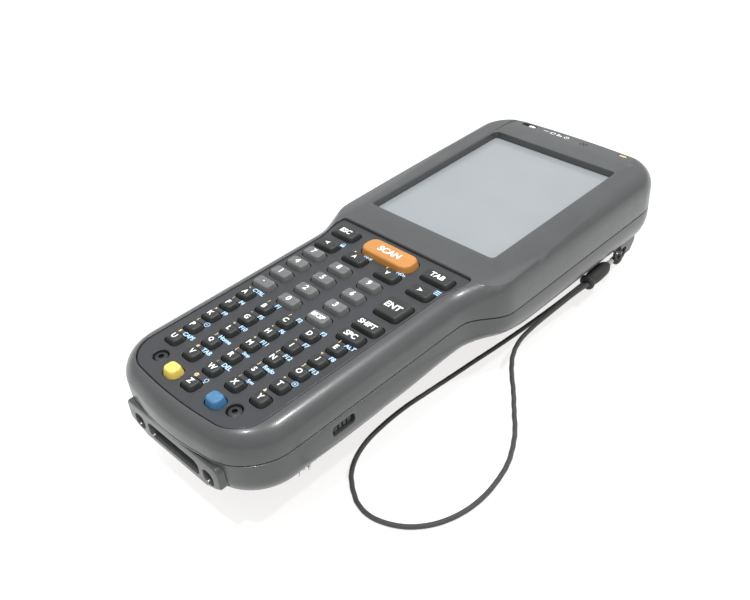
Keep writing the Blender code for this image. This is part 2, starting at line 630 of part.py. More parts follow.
def case_screws():
    profile = [(0.0, 1.7), (0.3, 2.0), (1.6, 2.0), (1.7, 1.0), (7.0, 1.0)]
    for number, start in enumerate(CASE_SCREWS):
        screw = place(f"case_screw_{number + 1}", turned(profile, start, (0, 0, 1), 10), "steel")
        x, y, z = start
        combine(screw, [rod((x, y, z - 1.0), (x, y, z + 0.9), 0.9, 6)], "DIFFERENCE")


# ---------------------------------------------------------------- strap and lanyard


def band(route, half_width, thickness):
    """A flat band of even thickness along a route of (y, z) points, as one closed solid."""
    upper, lower = [], []
    for i, (y, z) in enumerate(route):
        ahead, behind = route[min(i + 1, len(route) - 1)], route[max(i - 1, 0)]
        across = Vector((behind[1] - ahead[1], ahead[0] - behind[0])).normalized() * thickness / 2
        upper.append((y + across.x, z + across.y))
        lower.append((y - across.x, z - across.y))
    mesh = bpy.data.meshes.new("band")
    build = bmesh.new()
    sides = []
    for x in (-half_width, half_width):
        rows = [[build.verts.new(Vector((x, y, z)) * MM) for y, z in row] for row in (upper, lower)]
        for i in range(len(route) - 1):
            build.faces.new((rows[0][i], rows[0][i + 1], rows[1][i + 1], rows[1][i]))
        sides.append(rows[0] + rows[1][::-1])
    for i in range(len(sides[0])):
        j = (i + 1) % len(sides[0])
        build.faces.new((sides[0][i], sides[0][j], sides[1][j], sides[1][i]))
    bmesh.ops.recalc_face_normals(build, faces=build.faces)
    build.to_mesh(mesh)
    build.free()
    return mesh


def strap():
    """The hand strap: a padded band from the upper pin, and a webbing tail sewn to it.

    The tail goes over the lower pin and folds back under itself.
    """
    route = [(-60.0, 1.4), (-52.0, 1.2), (-40.0, 1.2), (-30.0, 1.4), (-21.0, 2.4), (-12.0, 3.9)]
    route += [(-2.0, 5.8), (8.0, 7.4), (17.0, 8.3)]
    route += arc(UPPER_PIN, STRAP_THICK / 2 + PIN_RADIUS + GAP, 90, -90, 6)
    route += [(19.0, 2.9), (15.0, 3.8), (12.0, 4.6)]
    place("hand_strap", band(route, STRAP_HALF, STRAP_THICK), "webbing")
    tail = [(-38.0, 3.3), (-48.0, 3.3), (-58.0, 3.6), (-65.0, 5.0), (-71.0, 7.6), (-76.0, 11.0)]
    tail += arc(LOWER_PIN, TAIL_THICK / 2 + PIN_RADIUS + GAP, 75, 265, 8)
    tail += [(-76.5, 8.4), (-71.5, 5.4), (-67.0, 3.0), (-63.0, 1.4)]
    place("strap_tail", band(tail, STRAP_HALF, TAIL_THICK), "webbing")
    for name, (y, z) in (("strap_pin_upper", UPPER_PIN), ("strap_pin_lower", LOWER_PIN)):
        place(name, rod((-21.2, y, z), (21.2, y, z), PIN_RADIUS, 12), "steel")


def smooth_path(route, step):
    """Points about a step apart along a centripetal Catmull-Rom curve through the route."""
    route = [Vector(point) for point in route]
    route = [2 * route[0] - route[1]] + route + [2 * route[-1] - route[-2]]
    fine = []
    for p0, p1, p2, p3 in zip(route, route[1:], route[2:], route[3:]):
        k0, k1, k2 = ((b - a).length ** 0.5 for a, b in ((p0, p1), (p1, p2), (p2, p3)))
        start = (p2 - p1) + k1 * ((p1 - p0) / k0 - (p2 - p0) / (k0 + k1))
        end = (p2 - p1) + k1 * ((p3 - p2) / k2 - (p3 - p1) / (k1 + k2))
        for i in range(12):
            t = i / 12
            ends = (2 * t**3 - 3 * t**2 + 1) * p1 + (3 * t**2 - 2 * t**3) * p2
            fine.append(ends + (t**3 - 2 * t**2 + t) * start + (t**3 - t**2) * end)
    fine.append(route[-2])
    lengths = [0.0]
    for a, b in zip(fine, fine[1:]):
        lengths.append(lengths[-1] + (b - a).length)
    count = round(lengths[-1] / step)
    points, at = [], 0
    for i in range(count + 1):
        target = lengths[-1] * i / count
        while at < len(fine) - 2 and lengths[at + 1] < target:
            at += 1
        share = (target - lengths[at]) / (lengths[at + 1] - lengths[at])
        points.append(fine[at].lerp(fine[at + 1], min(1.0, share)))
    return points


def lanyard():
    """The wrist lanyard: a knot under the lug, a capsule and one loop of thin cord."""
    data = bpy.data.curves.new("lanyard_cord", "CURVE")
    data.dimensions = "3D"
    data.bevel_depth = CORD_DIAMETER / 2 * MM
    data.bevel_resolution = 2
    data.use_fill_caps = True
    points = smooth_path(CORD_ROUTE, CORD_STEP)
    spline = data.splines.new("POLY")
    spline.points.add(len(points) - 1)
    for slot, point in zip(spline.points, points):
        slot.co = (*(point * MM), 1.0)
    data.materials.append(material("cord"))
    cord = bpy.data.objects.new("lanyard_cord", data)
    bpy.context.scene.collection.objects.link(cord)
    profile = [(0.0, 2.1), (0.6, CAPSULE_RADIUS), (2.2, CAPSULE_RADIUS - 0.4), (11.0, CAPSULE_RADIUS - 0.2)]
    profile += [(13.2, 1.7), (14.0, 1.0)]
    along = Vector(NECK) - Vector(CAPSULE_MOUTH)
    place("lanyard_capsule", turned(profile, CAPSULE_MOUTH, along, 10), "black_rubber")
    knot = [(0.0, 0.8), (2.6, 0.9), (3.6, 1.8), (5.2, 2.2), (6.8, 1.8), (7.6, 0.9), (11.8, 0.9), (12.2, 0.5)]
    place("lanyard_knot", turned(knot, NECK, Vector(LOOP) - Vector(NECK), 10), "cord")


def main():
    for item in list(bpy.data.objects):
        bpy.data.objects.remove(item)
    front_cover()
    rear_cover()
    cover_seal()
    keypad()
    display()
    indicators()
    internals()
    latches()
    dock()
    case_screws()
    strap()
    lanyard()


main()
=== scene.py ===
"""The finished looks of a rugged handheld data collector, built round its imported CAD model.

Lengths are millimetres in the CAD frame unless a name says otherwise: +Z is up out of the screen, +Y
runs to the display end, +X is the right-hand side of the keypad, and Z = 0 is the floor.
"""

import json
import math
import random

import bmesh
import bpy
from mathutils import Matrix, Vector

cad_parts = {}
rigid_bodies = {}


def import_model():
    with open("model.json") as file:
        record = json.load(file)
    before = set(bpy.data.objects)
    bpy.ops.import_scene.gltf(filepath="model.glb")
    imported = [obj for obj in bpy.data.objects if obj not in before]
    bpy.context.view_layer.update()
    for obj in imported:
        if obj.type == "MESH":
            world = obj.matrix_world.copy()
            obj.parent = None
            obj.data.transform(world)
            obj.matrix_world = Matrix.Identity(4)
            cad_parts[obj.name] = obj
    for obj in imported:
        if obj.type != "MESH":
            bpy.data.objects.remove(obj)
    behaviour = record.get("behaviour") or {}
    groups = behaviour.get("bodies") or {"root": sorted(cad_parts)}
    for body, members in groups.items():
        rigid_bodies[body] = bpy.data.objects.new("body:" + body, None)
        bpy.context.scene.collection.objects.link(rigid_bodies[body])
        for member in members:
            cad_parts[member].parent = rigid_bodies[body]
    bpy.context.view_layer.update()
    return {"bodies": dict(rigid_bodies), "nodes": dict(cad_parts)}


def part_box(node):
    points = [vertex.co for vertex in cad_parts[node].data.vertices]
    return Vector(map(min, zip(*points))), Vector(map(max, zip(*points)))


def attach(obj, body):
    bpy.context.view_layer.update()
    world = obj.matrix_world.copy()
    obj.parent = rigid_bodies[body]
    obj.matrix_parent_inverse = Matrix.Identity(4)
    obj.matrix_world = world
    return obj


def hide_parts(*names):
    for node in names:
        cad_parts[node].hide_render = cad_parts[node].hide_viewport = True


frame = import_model()

MM = 0.001
UP = (0, 0, 1)
HOUSING = "housing"


def cad(node):
    """The lowest and highest corner of a CAD node, in millimetres."""
    low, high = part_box(node)
    return low / MM, high / MM


def middle_and_size(node):
    """The middle of a CAD node's box and its size, in millimetres."""
    low, high = cad(node)
    return (low + high) / 2, high - low


# ---- driving sizes

FRONT_HIGH = cad("front_cover")[1]
DOCK_END_Y, TOP_END_Y, HEAD_HALF = -94.8, 99.3, FRONT_HIGH.x
GRIP_HALF = 32.0
WAIST_START, WAIST_END = -10.0, 10.0
DOCK_END_RADIUS, TOP_END_RADIUS = 17.0, 15.0
DOCK_END_BOW, TOP_END_BOW = 1.4, 0.8
FACE_Z = FRONT_HIGH.z
GRIP_SEAM_Z, HEAD_SEAM_Z = 28.4, 24.8
GRIP_FLOOR_Z, HAND_FLOOR_Z, HEAD_FLOOR_Z = 14.0, 15.6, 10.0
WALL = 2.2
SEAM_GAP = 0.15
END_STEPS, CORNER_STEPS, SIDE_STEP = 8, 14, 2.5

# The front cover's shoulder: how wide and deep its rounding is, the power of its curve and its crown
DOCK_END_SHARE = 0.72  # how much of an inset along the sides the dock end gets
GRIP_SHOULDER = {"wide": 5.8, "deep": 5.6, "power": 1.6}
HEAD_SHOULDER = {"wide": 5.5, "deep": 6.8, "power": 2.0}
HEAD_RISE, HEAD_CROWN, CROWN_WIDTH = 0.8, 0.4, 5.0

PANEL_LOW, PANEL_HIGH = cad("keypad_panel")
PANEL_TOP_Z = PANEL_HIGH.z
PANEL_HALF, PANEL_SHOULDER_HALF = 25.9, PANEL_HIGH.x
CLEAR = 0.3

GLASS_LOW, GLASS_HIGH = cad("touch_panel")
WINDOW_HALF = GLASS_HIGH.x - 1.6
WINDOW_LOW_Y, WINDOW_HIGH_Y = GLASS_LOW.y + 1.2, GLASS_HIGH.y - 2.0
WINDOW_CENTRE = (0.0, (WINDOW_LOW_Y + WINDOW_HIGH_Y) / 2)
WINDOW_SIZE = (2 * WINDOW_HALF, WINDOW_HIGH_Y - WINDOW_LOW_Y)
GLASS_FACE_Z = 36.4

BAND_HALF = 27.0
CREASE, CREASE_FALL = ((-14.0, 26.8), (104.0, 34.2)), 0.36  # (y, x) ends of the crease, and its facet's slope
BAND_PROFILE = ((78.0, 1.3), (81.4, 0.95), (87.6, 0.85), (99.0, -1.05), (102.0, -1.55))

LETTERS = "ABCDEFGHIJKLMNOPQRSTUVWXYZ"
LETTER_PITCH, LETTER_TAPER, LETTER_SAG, LETTER_TOP_Y = (10.1, 6.68), 0.09, 1.1, -49.8
LAST_LETTER_AT = (0.1, -83.9)
LETTER_SIZE, LETTER_RADIUS, LETTER_RISE = (5.5, 4.7), 1.5, 1.5

CORD_DIAMETER = 1.6
CORD_ROUTE = [
    (35.9, 53.7, 10.0), (35.0, 46.0, 9.3), (34.2, 36.0, 8.2), (33.8, 26.0, 7.4), (34.6, 17.0, 7.0),
    (37.2, 10.0, 6.6), (41.4, 4.0, 5.7), (46.0, -1.0, 4.3), (51.0, -7.0, 2.6), (55.2, -12.0, 1.4),
    (58.6, -17.5, 0.9), (61.6, -24.0, 0.85), (63.3, -31.0, 0.85), (64.0, -37.5, 0.85), (63.6, -44.0, 0.85),
    (62.0, -50.0, 0.85), (59.4, -55.0, 0.85), (55.2, -59.6, 0.85), (50.0, -62.6, 0.85), (44.6, -63.9, 0.85),
    (39.4, -63.1, 0.85), (34.4, -60.4, 0.95), (29.9, -56.6, 1.2), (26.5, -51.4, 1.1), (24.0, -44.5, 0.85),
    (22.9, -36.0, 0.85), (22.7, -26.0, 0.85), (23.5, -16.0, 0.85), (24.4, -6.0, 0.85), (25.3, 5.0, 0.85),
    (26.6, 15.0, 1.3), (28.4, 25.0, 2.7), (30.6, 35.0, 4.9), (32.6, 44.5, 7.2), (34.1, 53.7, 9.2),
]
CAPSULE_MOUTH, NECK, LOOP = Vector((35.0, 54.0, 9.6)), Vector((34.7, 68.4, 10.0)), Vector((35.1, 80.4, 9.6))
UPPER_PIN, LOWER_PIN = (24.0, 5.6), (-81.0, 13.0)
PIN_RECESS_Y, PIN_RECESS_Z = (-84.4, -78.2), 17.0
LUG_HOLE = (80.4, 9.6)
STRAP_HALF = 18.0
SEAM_X = 15.2  # where the strap is stitched along each side
STRAP_CLEAR = 0.05  # the strap stays this far above the floor


# ---- curves and outlines


def smooth_step(value, start, end):
    t = min(1.0, max(0.0, (value - start) / (end - start)))
    return t * t * (3 - 2 * t)


def blend(grip, head, y):
    """A value that is one thing along the grip and another along the head."""
    return grip + (head - grip) * smooth_step(y, WAIST_START, WAIST_END)


def seam_z(y):
    return blend(GRIP_SEAM_Z, HEAD_SEAM_Z, y)


def near_seam(rise):
    """Heights this far above the seam, for body_ring."""
    return lambda y: seam_z(y) + rise


def floor_z(y):
    fingers = (HAND_FLOOR_Z - GRIP_FLOOR_Z) * smooth_step(y, -34.0, -14.0)
    return GRIP_FLOOR_Z + fingers + (HEAD_FLOOR_Z - HAND_FLOOR_Z) * smooth_step(y, -4.0, 22.0)


def arc(centre, radius, start, end, steps):
    angles = [math.radians(start + (end - start) * i / steps) for i in range(steps + 1)]
    return [(centre[0] + radius * math.cos(a), centre[1] + radius * math.sin(a)) for a in angles]


def rounded(centre, size, radius, steps=6):
    """A rounded rectangle, anticlockwise."""
    x, y = centre
    across, up = size[0] / 2 - radius, size[1] / 2 - radius
    points = arc((x + across, y - up), radius, -90, 0, steps)
    points += arc((x + across, y + up), radius, 0, 90, steps)
    points += arc((x - across, y + up), radius, 90, 180, steps)
    return points + arc((x - across, y - up), radius, 180, 270, steps)


def grown(points, distance):
    """A convex outline moved outwards by a distance; a negative one moves it in."""
    moved = []
    for i, (x, y) in enumerate(points):
        ahead, behind = points[(i + 1) % len(points)], points[i - 1]
        normal = Vector((ahead[1] - behind[1], behind[0] - ahead[0])).normalized()
        moved.append((x + normal.x * distance, y + normal.y * distance))
    return moved


def inset_plate(centre, size, radius, inset, give=1.0, steps=6):
    """A rounded rectangle moved in by inset; its corners' radius shrinks by give times as much."""
    return rounded(centre, (size[0] - 2 * inset, size[1] - 2 * inset), radius - inset * give, steps)


def at_height(points, z):
    return [(x, y, z) for x, y in points]


def body_ring(grip_inset, head_inset, height, lean=0.0):
    """A closed ring round the body: the plan outline moved in by the insets, at height(y).

    Point number i is opposite point number -i, so strips across can close it.
    """
    bottom, half = DOCK_END_Y + DOCK_END_SHARE * grip_inset + lean, GRIP_HALF - grip_inset
    radius = max(DOCK_END_RADIUS - grip_inset, 4.0)
    flat = half - radius
    right = [(flat * i / END_STEPS, bottom + DOCK_END_BOW * (i / END_STEPS) ** 2) for i in range(END_STEPS)]
    right += arc((flat, bottom + DOCK_END_BOW + radius), radius, -80, 0, CORNER_STEPS)
    y = -70.0
    while y < 79.0:
        right.append((blend(GRIP_HALF, HEAD_HALF, y) - blend(grip_inset, head_inset, y), y))
        y += SIDE_STEP
    top, half = TOP_END_Y - head_inset, HEAD_HALF - head_inset
    radius = max(TOP_END_RADIUS - head_inset, 4.0)
    flat = half - radius
    right += arc((flat, top - TOP_END_BOW - radius), radius, 0, 84, CORNER_STEPS)
    for i in range(END_STEPS - 1, -1, -1):
        right.append((flat * i / END_STEPS, top - TOP_END_BOW * (i / END_STEPS) ** 2))
    ring = [(x, y, height(y)) for x, y in right]
    return ring + [(-x, y, z) for x, y, z in reversed(ring[1:-1])]


def panel_outline(inset=0.0):
    """The keypad panel: square shoulders under the display, round corners and a bowed lower edge."""
    radius, half = 10.0 - inset, PANEL_HALF - inset
    bottom = PANEL_LOW.y + inset
    flat = half - radius
    right = [(flat * i / 4, bottom + 0.9 * (i / 4) ** 2) for i in range(4)]
    right += arc((flat, bottom + 0.9 + radius), radius, -80, 0, 12)
    for i in range(15):
        y = -44.0 + 41.0 * i / 14
        wide = PANEL_HALF + (PANEL_SHOULDER_HALF - PANEL_HALF) * smooth_step(y, -13.0, -3.0)
        right.append((wide - inset, y))
    right += arc((PANEL_SHOULDER_HALF - inset - 1.0, PANEL_HIGH.y - inset - 1.0), 1.0, 0, 90, 4)
    return right + [(-x, y) for x, y in reversed(right[1:])]


def cover_top(x, y):
    """Height of the front cover's face near the middle of the body."""
    half = blend(GRIP_HALF, HEAD_HALF, y)
    inside = min(half - abs(x), TOP_END_Y - y + 0.6)
    crown = min(1.0, max(0.0, (inside - HEAD_SHOULDER["wide"]) / CROWN_WIDTH))
    return FACE_Z + blend(0.0, HEAD_RISE, y) + blend(0.0, HEAD_CROWN, y) * crown


# ---- meshes


def loft_into(build, rings, strips=False, capped=True):
    """Skin rings of equal length in a bmesh. strips closes an end that isn't flat."""
    rows = [[build.verts.new(Vector(point) * MM) for point in ring] for ring in rings]
    count = len(rows[0])
    for low, high in zip(rows, rows[1:]):
        for i in range(count):
            j = (i + 1) % count
            build.faces.new((low[i], low[j], high[j], high[i]))
    if not capped:
        return rows
    for row, turned_over in ((rows[0], True), (rows[-1], False)):
        if not strips:
            build.faces.new(list(reversed(row)) if turned_over else row)
            continue
        for i in range(count // 2):
            corners = list(dict.fromkeys((row[i], row[i + 1], row[-i - 1], row[-i])))
            build.faces.new(list(reversed(corners)) if turned_over else corners)
    return rows


def finished(build, name="mesh"):
    bmesh.ops.recalc_face_normals(build, faces=build.faces)
    mesh = bpy.data.meshes.new(name)
    build.to_mesh(mesh)
    build.free()
    return mesh


def loft(rings, strips=False):
    build = bmesh.new()
    loft_into(build, rings, strips)
    return finished(build)


def prism(points, low, high):
    return loft([at_height(points, low), at_height(points, high)])


def bar(x0, y0, x1, y1):
    return [(x0, y0), (x1, y0), (x1, y1), (x0, y1)]


def block(low, high):
    (x0, y0, z0), (x1, y1, z1) = low, high
    return prism(bar(x0, y0, x1, y1), z0, z1)


def along(direction):
    return Vector(direction).to_track_quat("Z", "Y").to_matrix()


def turned(profile, start, direction, sides=32):
    """A solid of revolution: profile is (distance along the axis, radius) pairs."""
    turn = along(direction)
    rings = []
    for distance, radius in profile:
        ring = arc((0, 0), radius, 0, 360 - 360 / sides, sides - 1)
        rings.append([tuple(Vector(start) + turn @ Vector((x, y, distance))) for x, y in ring])
    return loft(rings)


def tube(path, radius, sides=10, capped=True):
    """A tube along points; radius(i) gives its radius at point i."""
    build = bmesh.new()
    rings = []
    up = Vector((0.13, 0.21, 0.97))
    for i, point in enumerate(path):
        ahead, behind = path[min(i + 1, len(path) - 1)], path[max(i - 1, 0)]
        tangent = (ahead - behind).normalized()
        side = tangent.cross(up).normalized()
        up = side.cross(tangent).normalized()
        ring = []
        for k in range(sides):
            angle = 2 * math.pi * k / sides
            reach = radius(i, angle) if callable(radius) else radius
            ring.append(point + (side * math.cos(angle) + up * math.sin(angle)) * reach)
        rings.append(ring)
    loft_into(build, rings, capped=capped)
    return finished(build)


def joined(meshes):
    """Several meshes as one."""
    build = bmesh.new()
    for mesh in meshes:
        build.from_mesh(mesh)
    result = bpy.data.meshes.new("joined")
    build.to_mesh(result)
    build.free()
    return result


def smooth_path(route, step):
    """Points about a step apart along a centripetal Catmull-Rom curve through the route."""
    route = [Vector(point) for point in route]
    route = [2 * route[0] - route[1]] + route + [2 * route[-1] - route[-2]]
    fine = []
    for p0, p1, p2, p3 in zip(route, route[1:], route[2:], route[3:]):
        k0, k1, k2 = ((b - a).length ** 0.5 for a, b in ((p0, p1), (p1, p2), (p2, p3)))
        start = (p2 - p1) + k1 * ((p1 - p0) / k0 - (p2 - p0) / (k0 + k1))
        end = (p2 - p1) + k1 * ((p3 - p2) / k2 - (p3 - p1) / (k1 + k2))
        for i in range(12):
            t = i / 12
            ends = (2 * t**3 - 3 * t**2 + 1) * p1 + (t**3 - 2 * t**2 + t) * start
            fine.append(ends + (3 * t**2 - 2 * t**3) * p2 + (t**3 - t**2) * end)
    fine.append(route[-2])
    lengths = [0.0]
    for a, b in zip(fine, fine[1:]):
        lengths.append(lengths[-1] + (b - a).length)
    count = round(lengths[-1] / step)
    points, at = [], 0
    for i in range(count + 1):
        target = lengths[-1] * i / count
        while at < len(fine) - 2 and lengths[at + 1] < target:
            at += 1
        share = (target - lengths[at]) / (lengths[at + 1] - lengths[at])
        points.append(fine[at].lerp(fine[at + 1], min(1.0, share)))
    return points


def piece(name, mesh, finish, body=HOUSING, stands_for=(), sharp=38):
    """A named piece of the finished model, riding on a CAD body, in its finish."""
    made = bpy.data.objects.new(name, mesh)
    bpy.context.scene.collection.objects.link(made)
    mesh.materials.clear()
    mesh.materials.append(finish)
    mesh.shade_smooth()
    mesh.set_sharp_from_angle(angle=math.radians(sharp))
    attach(made, body)
    if stands_for:
        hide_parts(*stands_for)
    return made


def carve(mesh, cutters, operation="DIFFERENCE"):
    """The mesh after a Boolean with each closed cutter mesh."""
    target = bpy.data.objects.new("target", mesh)
    bpy.context.scene.collection.objects.link(target)
    helpers = []
    for cutter in cutters:
        helper = bpy.data.objects.new("cutter", cutter)
        bpy.context.scene.collection.objects.link(helper)
        helpers.append(helper)
        modifier = target.modifiers.new("cut", "BOOLEAN")
        modifier.operation = operation
        modifier.object = helper
    bpy.context.view_layer.update()
    result = bpy.data.meshes.new_from_object(target.evaluated_get(bpy.context.evaluated_depsgraph_get()))
    for item in [target, *helpers]:
        bpy.data.objects.remove(item)
    return result


# ---- materials


class Finish:
    """A Principled material and the nodes that vary it."""

    def __init__(self, name, roughness, metallic=0.0, **sockets):
        self.material = bpy.data.materials.new(name)
        self.material.use_nodes = True
        self.tree = self.material.node_tree
        self.shader = self.tree.nodes["Principled BSDF"]
        self.shader.inputs["Metallic"].default_value = metallic
        self.shader.inputs["Roughness"].default_value = roughness
        for socket, value in sockets.items():
            self.shader.inputs[socket.replace("_", " ")].default_value = value
        self.place = self.node("ShaderNodeTexCoord").outputs["Object"]

    def node(self, kind, **values):
        made = self.tree.nodes.new(kind)
        for key, value in values.items():
            if key in made.bl_rna.properties:
                setattr(made, key, value)
            else:
                made.inputs[key.replace("_", " ")].default_value = value
        return made

    def link(self, out, into):
        self.tree.links.new(out, into)

    def noise(self, size, detail=2.0, stretch=(1.0, 1.0, 1.0)):
        """Noise whose features are about this many millimetres across."""
        scale = self.node("ShaderNodeMapping")
        scale.inputs["Scale"].default_value = [1 / (MM * size * s) for s in stretch]
        self.link(self.place, scale.inputs["Vector"])
        made = self.node("ShaderNodeTexNoise", Scale=1.0, Detail=detail)
        self.link(scale.outputs["Vector"], made.inputs["Vector"])
        return made.outputs["Fac"]

    def ramp(self, factor, stops):
        made = self.node("ShaderNodeValToRGB")
        elements = made.color_ramp.elements
        while len(elements) < len(stops):
            elements.new(0.5)
        for element, (place, colour) in zip(elements, stops):
            element.position = place
            element.color = (*colour, 1.0)
        self.link(factor, made.inputs["Fac"])
        return made.outputs["Color"]

    def mix(self, factor, first, second, kind="MIX"):
        made = self.node("ShaderNodeMix", data_type="RGBA", blend_type=kind)
        for value, socket in ((factor, made.inputs[0]), (first, made.inputs[6]), (second, made.inputs[7])):
            if isinstance(value, bpy.types.NodeSocket):
                self.link(value, socket)
            else:
                socket.default_value = value if isinstance(value, float) else (*value, 1.0)
        return made.outputs[2]

    def colour(self, out):
        self.link(out, self.shader.inputs["Base Color"])

    def rough(self, factor, low, high):
        made = self.node("ShaderNodeMapRange", To_Min=low, To_Max=high)
        self.link(factor, made.inputs["Value"])
        self.link(made.outputs["Result"], self.shader.inputs["Roughness"])

    def bump(self, height, depth, strength=1.0):
        """A bump of this depth in millimetres, on top of any bump made before it."""
        made = self.node("ShaderNodeBump", Strength=strength, Distance=depth * MM)
        self.link(height, made.inputs["Height"])
        into = self.shader.inputs["Normal"]
        if into.is_linked:
            self.link(into.links[0].from_socket, made.inputs["Normal"])
        self.link(made.outputs["Normal"], into)


def shaded(colour, amount):
    return tuple(min(1.0, c * amount) for c in colour)


def moulded(name, colour, roughness, grain=0.012, spread=0.08, edge_wear_and_highlight=1.35, **sockets):
    """Moulded plastic or rubber: a fine texture, slow changes of tone and gloss, and paler edges, part wear
    and part painted highlight.
    """
    made = Finish(name, roughness, **sockets)
    slow, fine = made.noise(14.0, 4.0), made.noise(0.42, 2.0)
    base = made.ramp(slow, [(0.3, shaded(colour, 1 - spread)), (0.7, shaded(colour, 1 + spread))])
    # Sharp edges are painted paler: partly wear, partly a painted highlight along the bevels.
    edge = made.node("ShaderNodeNewGeometry").outputs["Pointiness"]
    wear_and_highlight_mask = made.ramp(edge, [(0.52, (0.0, 0.0, 0.0)), (0.62, (1.0, 1.0, 1.0))])
    made.colour(made.mix(wear_and_highlight_mask, base, shaded(colour, edge_wear_and_highlight)))
    made.rough(made.noise(5.0, 5.0), roughness - 0.06, roughness + 0.06)
    made.bump(fine, grain)
    return made.material


def printed(name, colour):
    """Printing ink: nearly even, with small breaks in its tone."""
    made = Finish(name, 0.55)
    made.colour(made.ramp(made.noise(0.5, 3.0), [(0.25, shaded(colour, 0.88)), (0.75, colour)]))
    made.bump(made.noise(0.2), 0.004)
    return made.material


def metal(name, colour, roughness):
    """Metal with fine scratches along X."""
    made = Finish(name, roughness, 1.0)
    scratch = made.noise(0.3, 4.0, (12.0, 1.0, 1.0))
    made.colour(made.ramp(scratch, [(0.3, shaded(colour, 0.82)), (0.7, colour)]))
    made.rough(scratch, roughness - 0.05, roughness + 0.12)
    made.bump(scratch, 0.006)
    return made.material


def woven(name, colour, pitch=0.9, ribs=True):
    """Woven webbing: yarns crossing over and under, painted shade in the gaps between yarns, fuzz and faded
    high spots.
    """
    made = Finish(name, 0.85, Sheen_Weight=0.25, Sheen_Roughness=0.5)
    waves = []
    for direction, size in (("Y", pitch), ("X", pitch * 1.3)):
        wave = made.node("ShaderNodeTexWave", wave_type="BANDS", bands_direction=direction, Distortion=0.6,
                         Detail=2.0, Detail_Scale=2.0)
        wave.inputs["Scale"].default_value = 0.3142 / (size * MM)
        made.link(made.place, wave.inputs["Vector"])
        waves.append(wave.outputs["Fac"])
    yarn = made.mix(0.5, waves[0], waves[1], "MULTIPLY") if ribs else waves[1]
    fuzz = made.noise(0.25, 4.0)
    # Darkest where the yarn pattern that drives the bump is lowest: painted shade in the gaps between yarns.
    yarn_tone_and_gap_shade = made.ramp(yarn, [(0.1, shaded(colour, 0.35)), (0.9, colour)])
    dust = made.ramp(made.noise(6.0, 5.0), [(0.45, (0.0, 0.0, 0.0)), (0.8, (0.35, 0.35, 0.35))])
    made.colour(made.mix(dust, yarn_tone_and_gap_shade, shaded(colour, 1.9)))
    made.bump(yarn, 0.22)
    made.bump(fuzz, 0.05)
    return made.material


def braided(name, colour):
    """The lanyard's round braid: two sets of yarns wound opposite ways round the cord."""
    made = Finish(name, 0.62, Sheen_Weight=0.15, Sheen_Roughness=0.5)
    yarn = made.noise(0.35, 3.0)
    made.colour(made.ramp(yarn, [(0.3, shaded(colour, 0.6)), (0.7, shaded(colour, 1.4))]))
    made.bump(yarn, 0.05)
    return made.material


def glass_screen(name):
    """The unlit touch screen: pale bluish grey under a faint pixel grid."""
    made = Finish(name, 0.22, Coat_Weight=0.35, Coat_Roughness=0.06)
    grid = made.node("ShaderNodeTexBrick", Scale=1.0, Mortar_Size=0.02, Mortar_Smooth=0.4, Row_Height=0.24,
                     Brick_Width=0.24, Bias=0.0, Color1=(0.262, 0.277, 0.285, 1),
                     Color2=(0.268, 0.283, 0.291, 1), Mortar=(0.245, 0.26, 0.268, 1), offset=0.0)
    scale = made.node("ShaderNodeMapping")
    scale.inputs["Scale"].default_value = [1 / MM] * 3
    made.link(made.place, scale.inputs["Vector"])
    made.link(scale.outputs["Vector"], grid.inputs["Vector"])
    haze = made.ramp(made.noise(22.0, 3.0), [(0.3, (0.94, 0.945, 0.95)), (0.7, (1.0, 1.0, 1.0))])
    made.colour(made.mix(1.0, grid.outputs["Color"], haze, "MULTIPLY"))
    made.rough(made.noise(9.0, 4.0), 0.2, 0.26)
    return made.material


def clear_plastic(name, colour, transmission, roughness=0.15, **sockets):
    made = Finish(name, roughness, Transmission_Weight=transmission, Coat_Weight=0.4, **sockets)
    made.colour(made.ramp(made.noise(1.5, 3.0), [(0.3, shaded(colour, 0.92)), (0.7, colour)]))
    made.bump(made.noise(0.8), 0.004)
    return made.material


def board_finish(name):
    """A circuit board: green mask with tracks showing through."""
    made = Finish(name, 0.4, Coat_Weight=0.3)
    track = made.node("ShaderNodeTexVoronoi", distance="CHEBYCHEV", feature="DISTANCE_TO_EDGE", Scale=420.0)
    made.link(made.place, track.inputs["Vector"])
    lines = made.ramp(track.outputs["Distance"], [(0.03, (0.03, 0.2, 0.08)), (0.09, (0.008, 0.09, 0.035))])
    made.colour(made.mix(made.noise(3.0), lines, (0.01, 0.12, 0.05)))
    made.bump(track.outputs["Distance"], 0.05, 0.5)
    return made.material


# The edge numbers given to the moulded finishes below paint their edges paler: part wear, part painted
# highlight.
SHELL = moulded("shell_plastic", (0.055, 0.0565, 0.057), 0.34, Coat_Weight=0.25, Coat_Roughness=0.16)
PANEL = moulded("panel_film", (0.030, 0.031, 0.034), 0.45, grain=0.008, edge_wear_and_highlight=1.2)
BLACK_KEY = moulded("black_key", (0.021, 0.022, 0.0215), 0.46, grain=0.008, edge_wear_and_highlight=1.8)
GREY_KEY = moulded("grey_key", (0.118, 0.118, 0.118), 0.46, grain=0.008, edge_wear_and_highlight=1.3)
ORANGE_KEY = moulded("orange_key", (0.47, 0.20, 0.045), 0.42, grain=0.008, edge_wear_and_highlight=1.1)
YELLOW_KEY = moulded("yellow_key", (0.72, 0.54, 0.11), 0.42, grain=0.008, edge_wear_and_highlight=1.05)
BLUE_KEY = moulded("blue_key", (0.045, 0.15, 0.29), 0.42, grain=0.008, edge_wear_and_highlight=1.2)
RUBBER = moulded("black_rubber", (0.016, 0.017, 0.016), 0.62, edge_wear_and_highlight=1.5)
GLASS = glass_screen("screen_glass")
RED_WINDOW = clear_plastic("red_window", (0.05, 0.003, 0.005), 0.0, 0.16)
BOARD = board_finish("circuit_board")
STEEL = metal("steel", (0.55, 0.55, 0.57), 0.3)
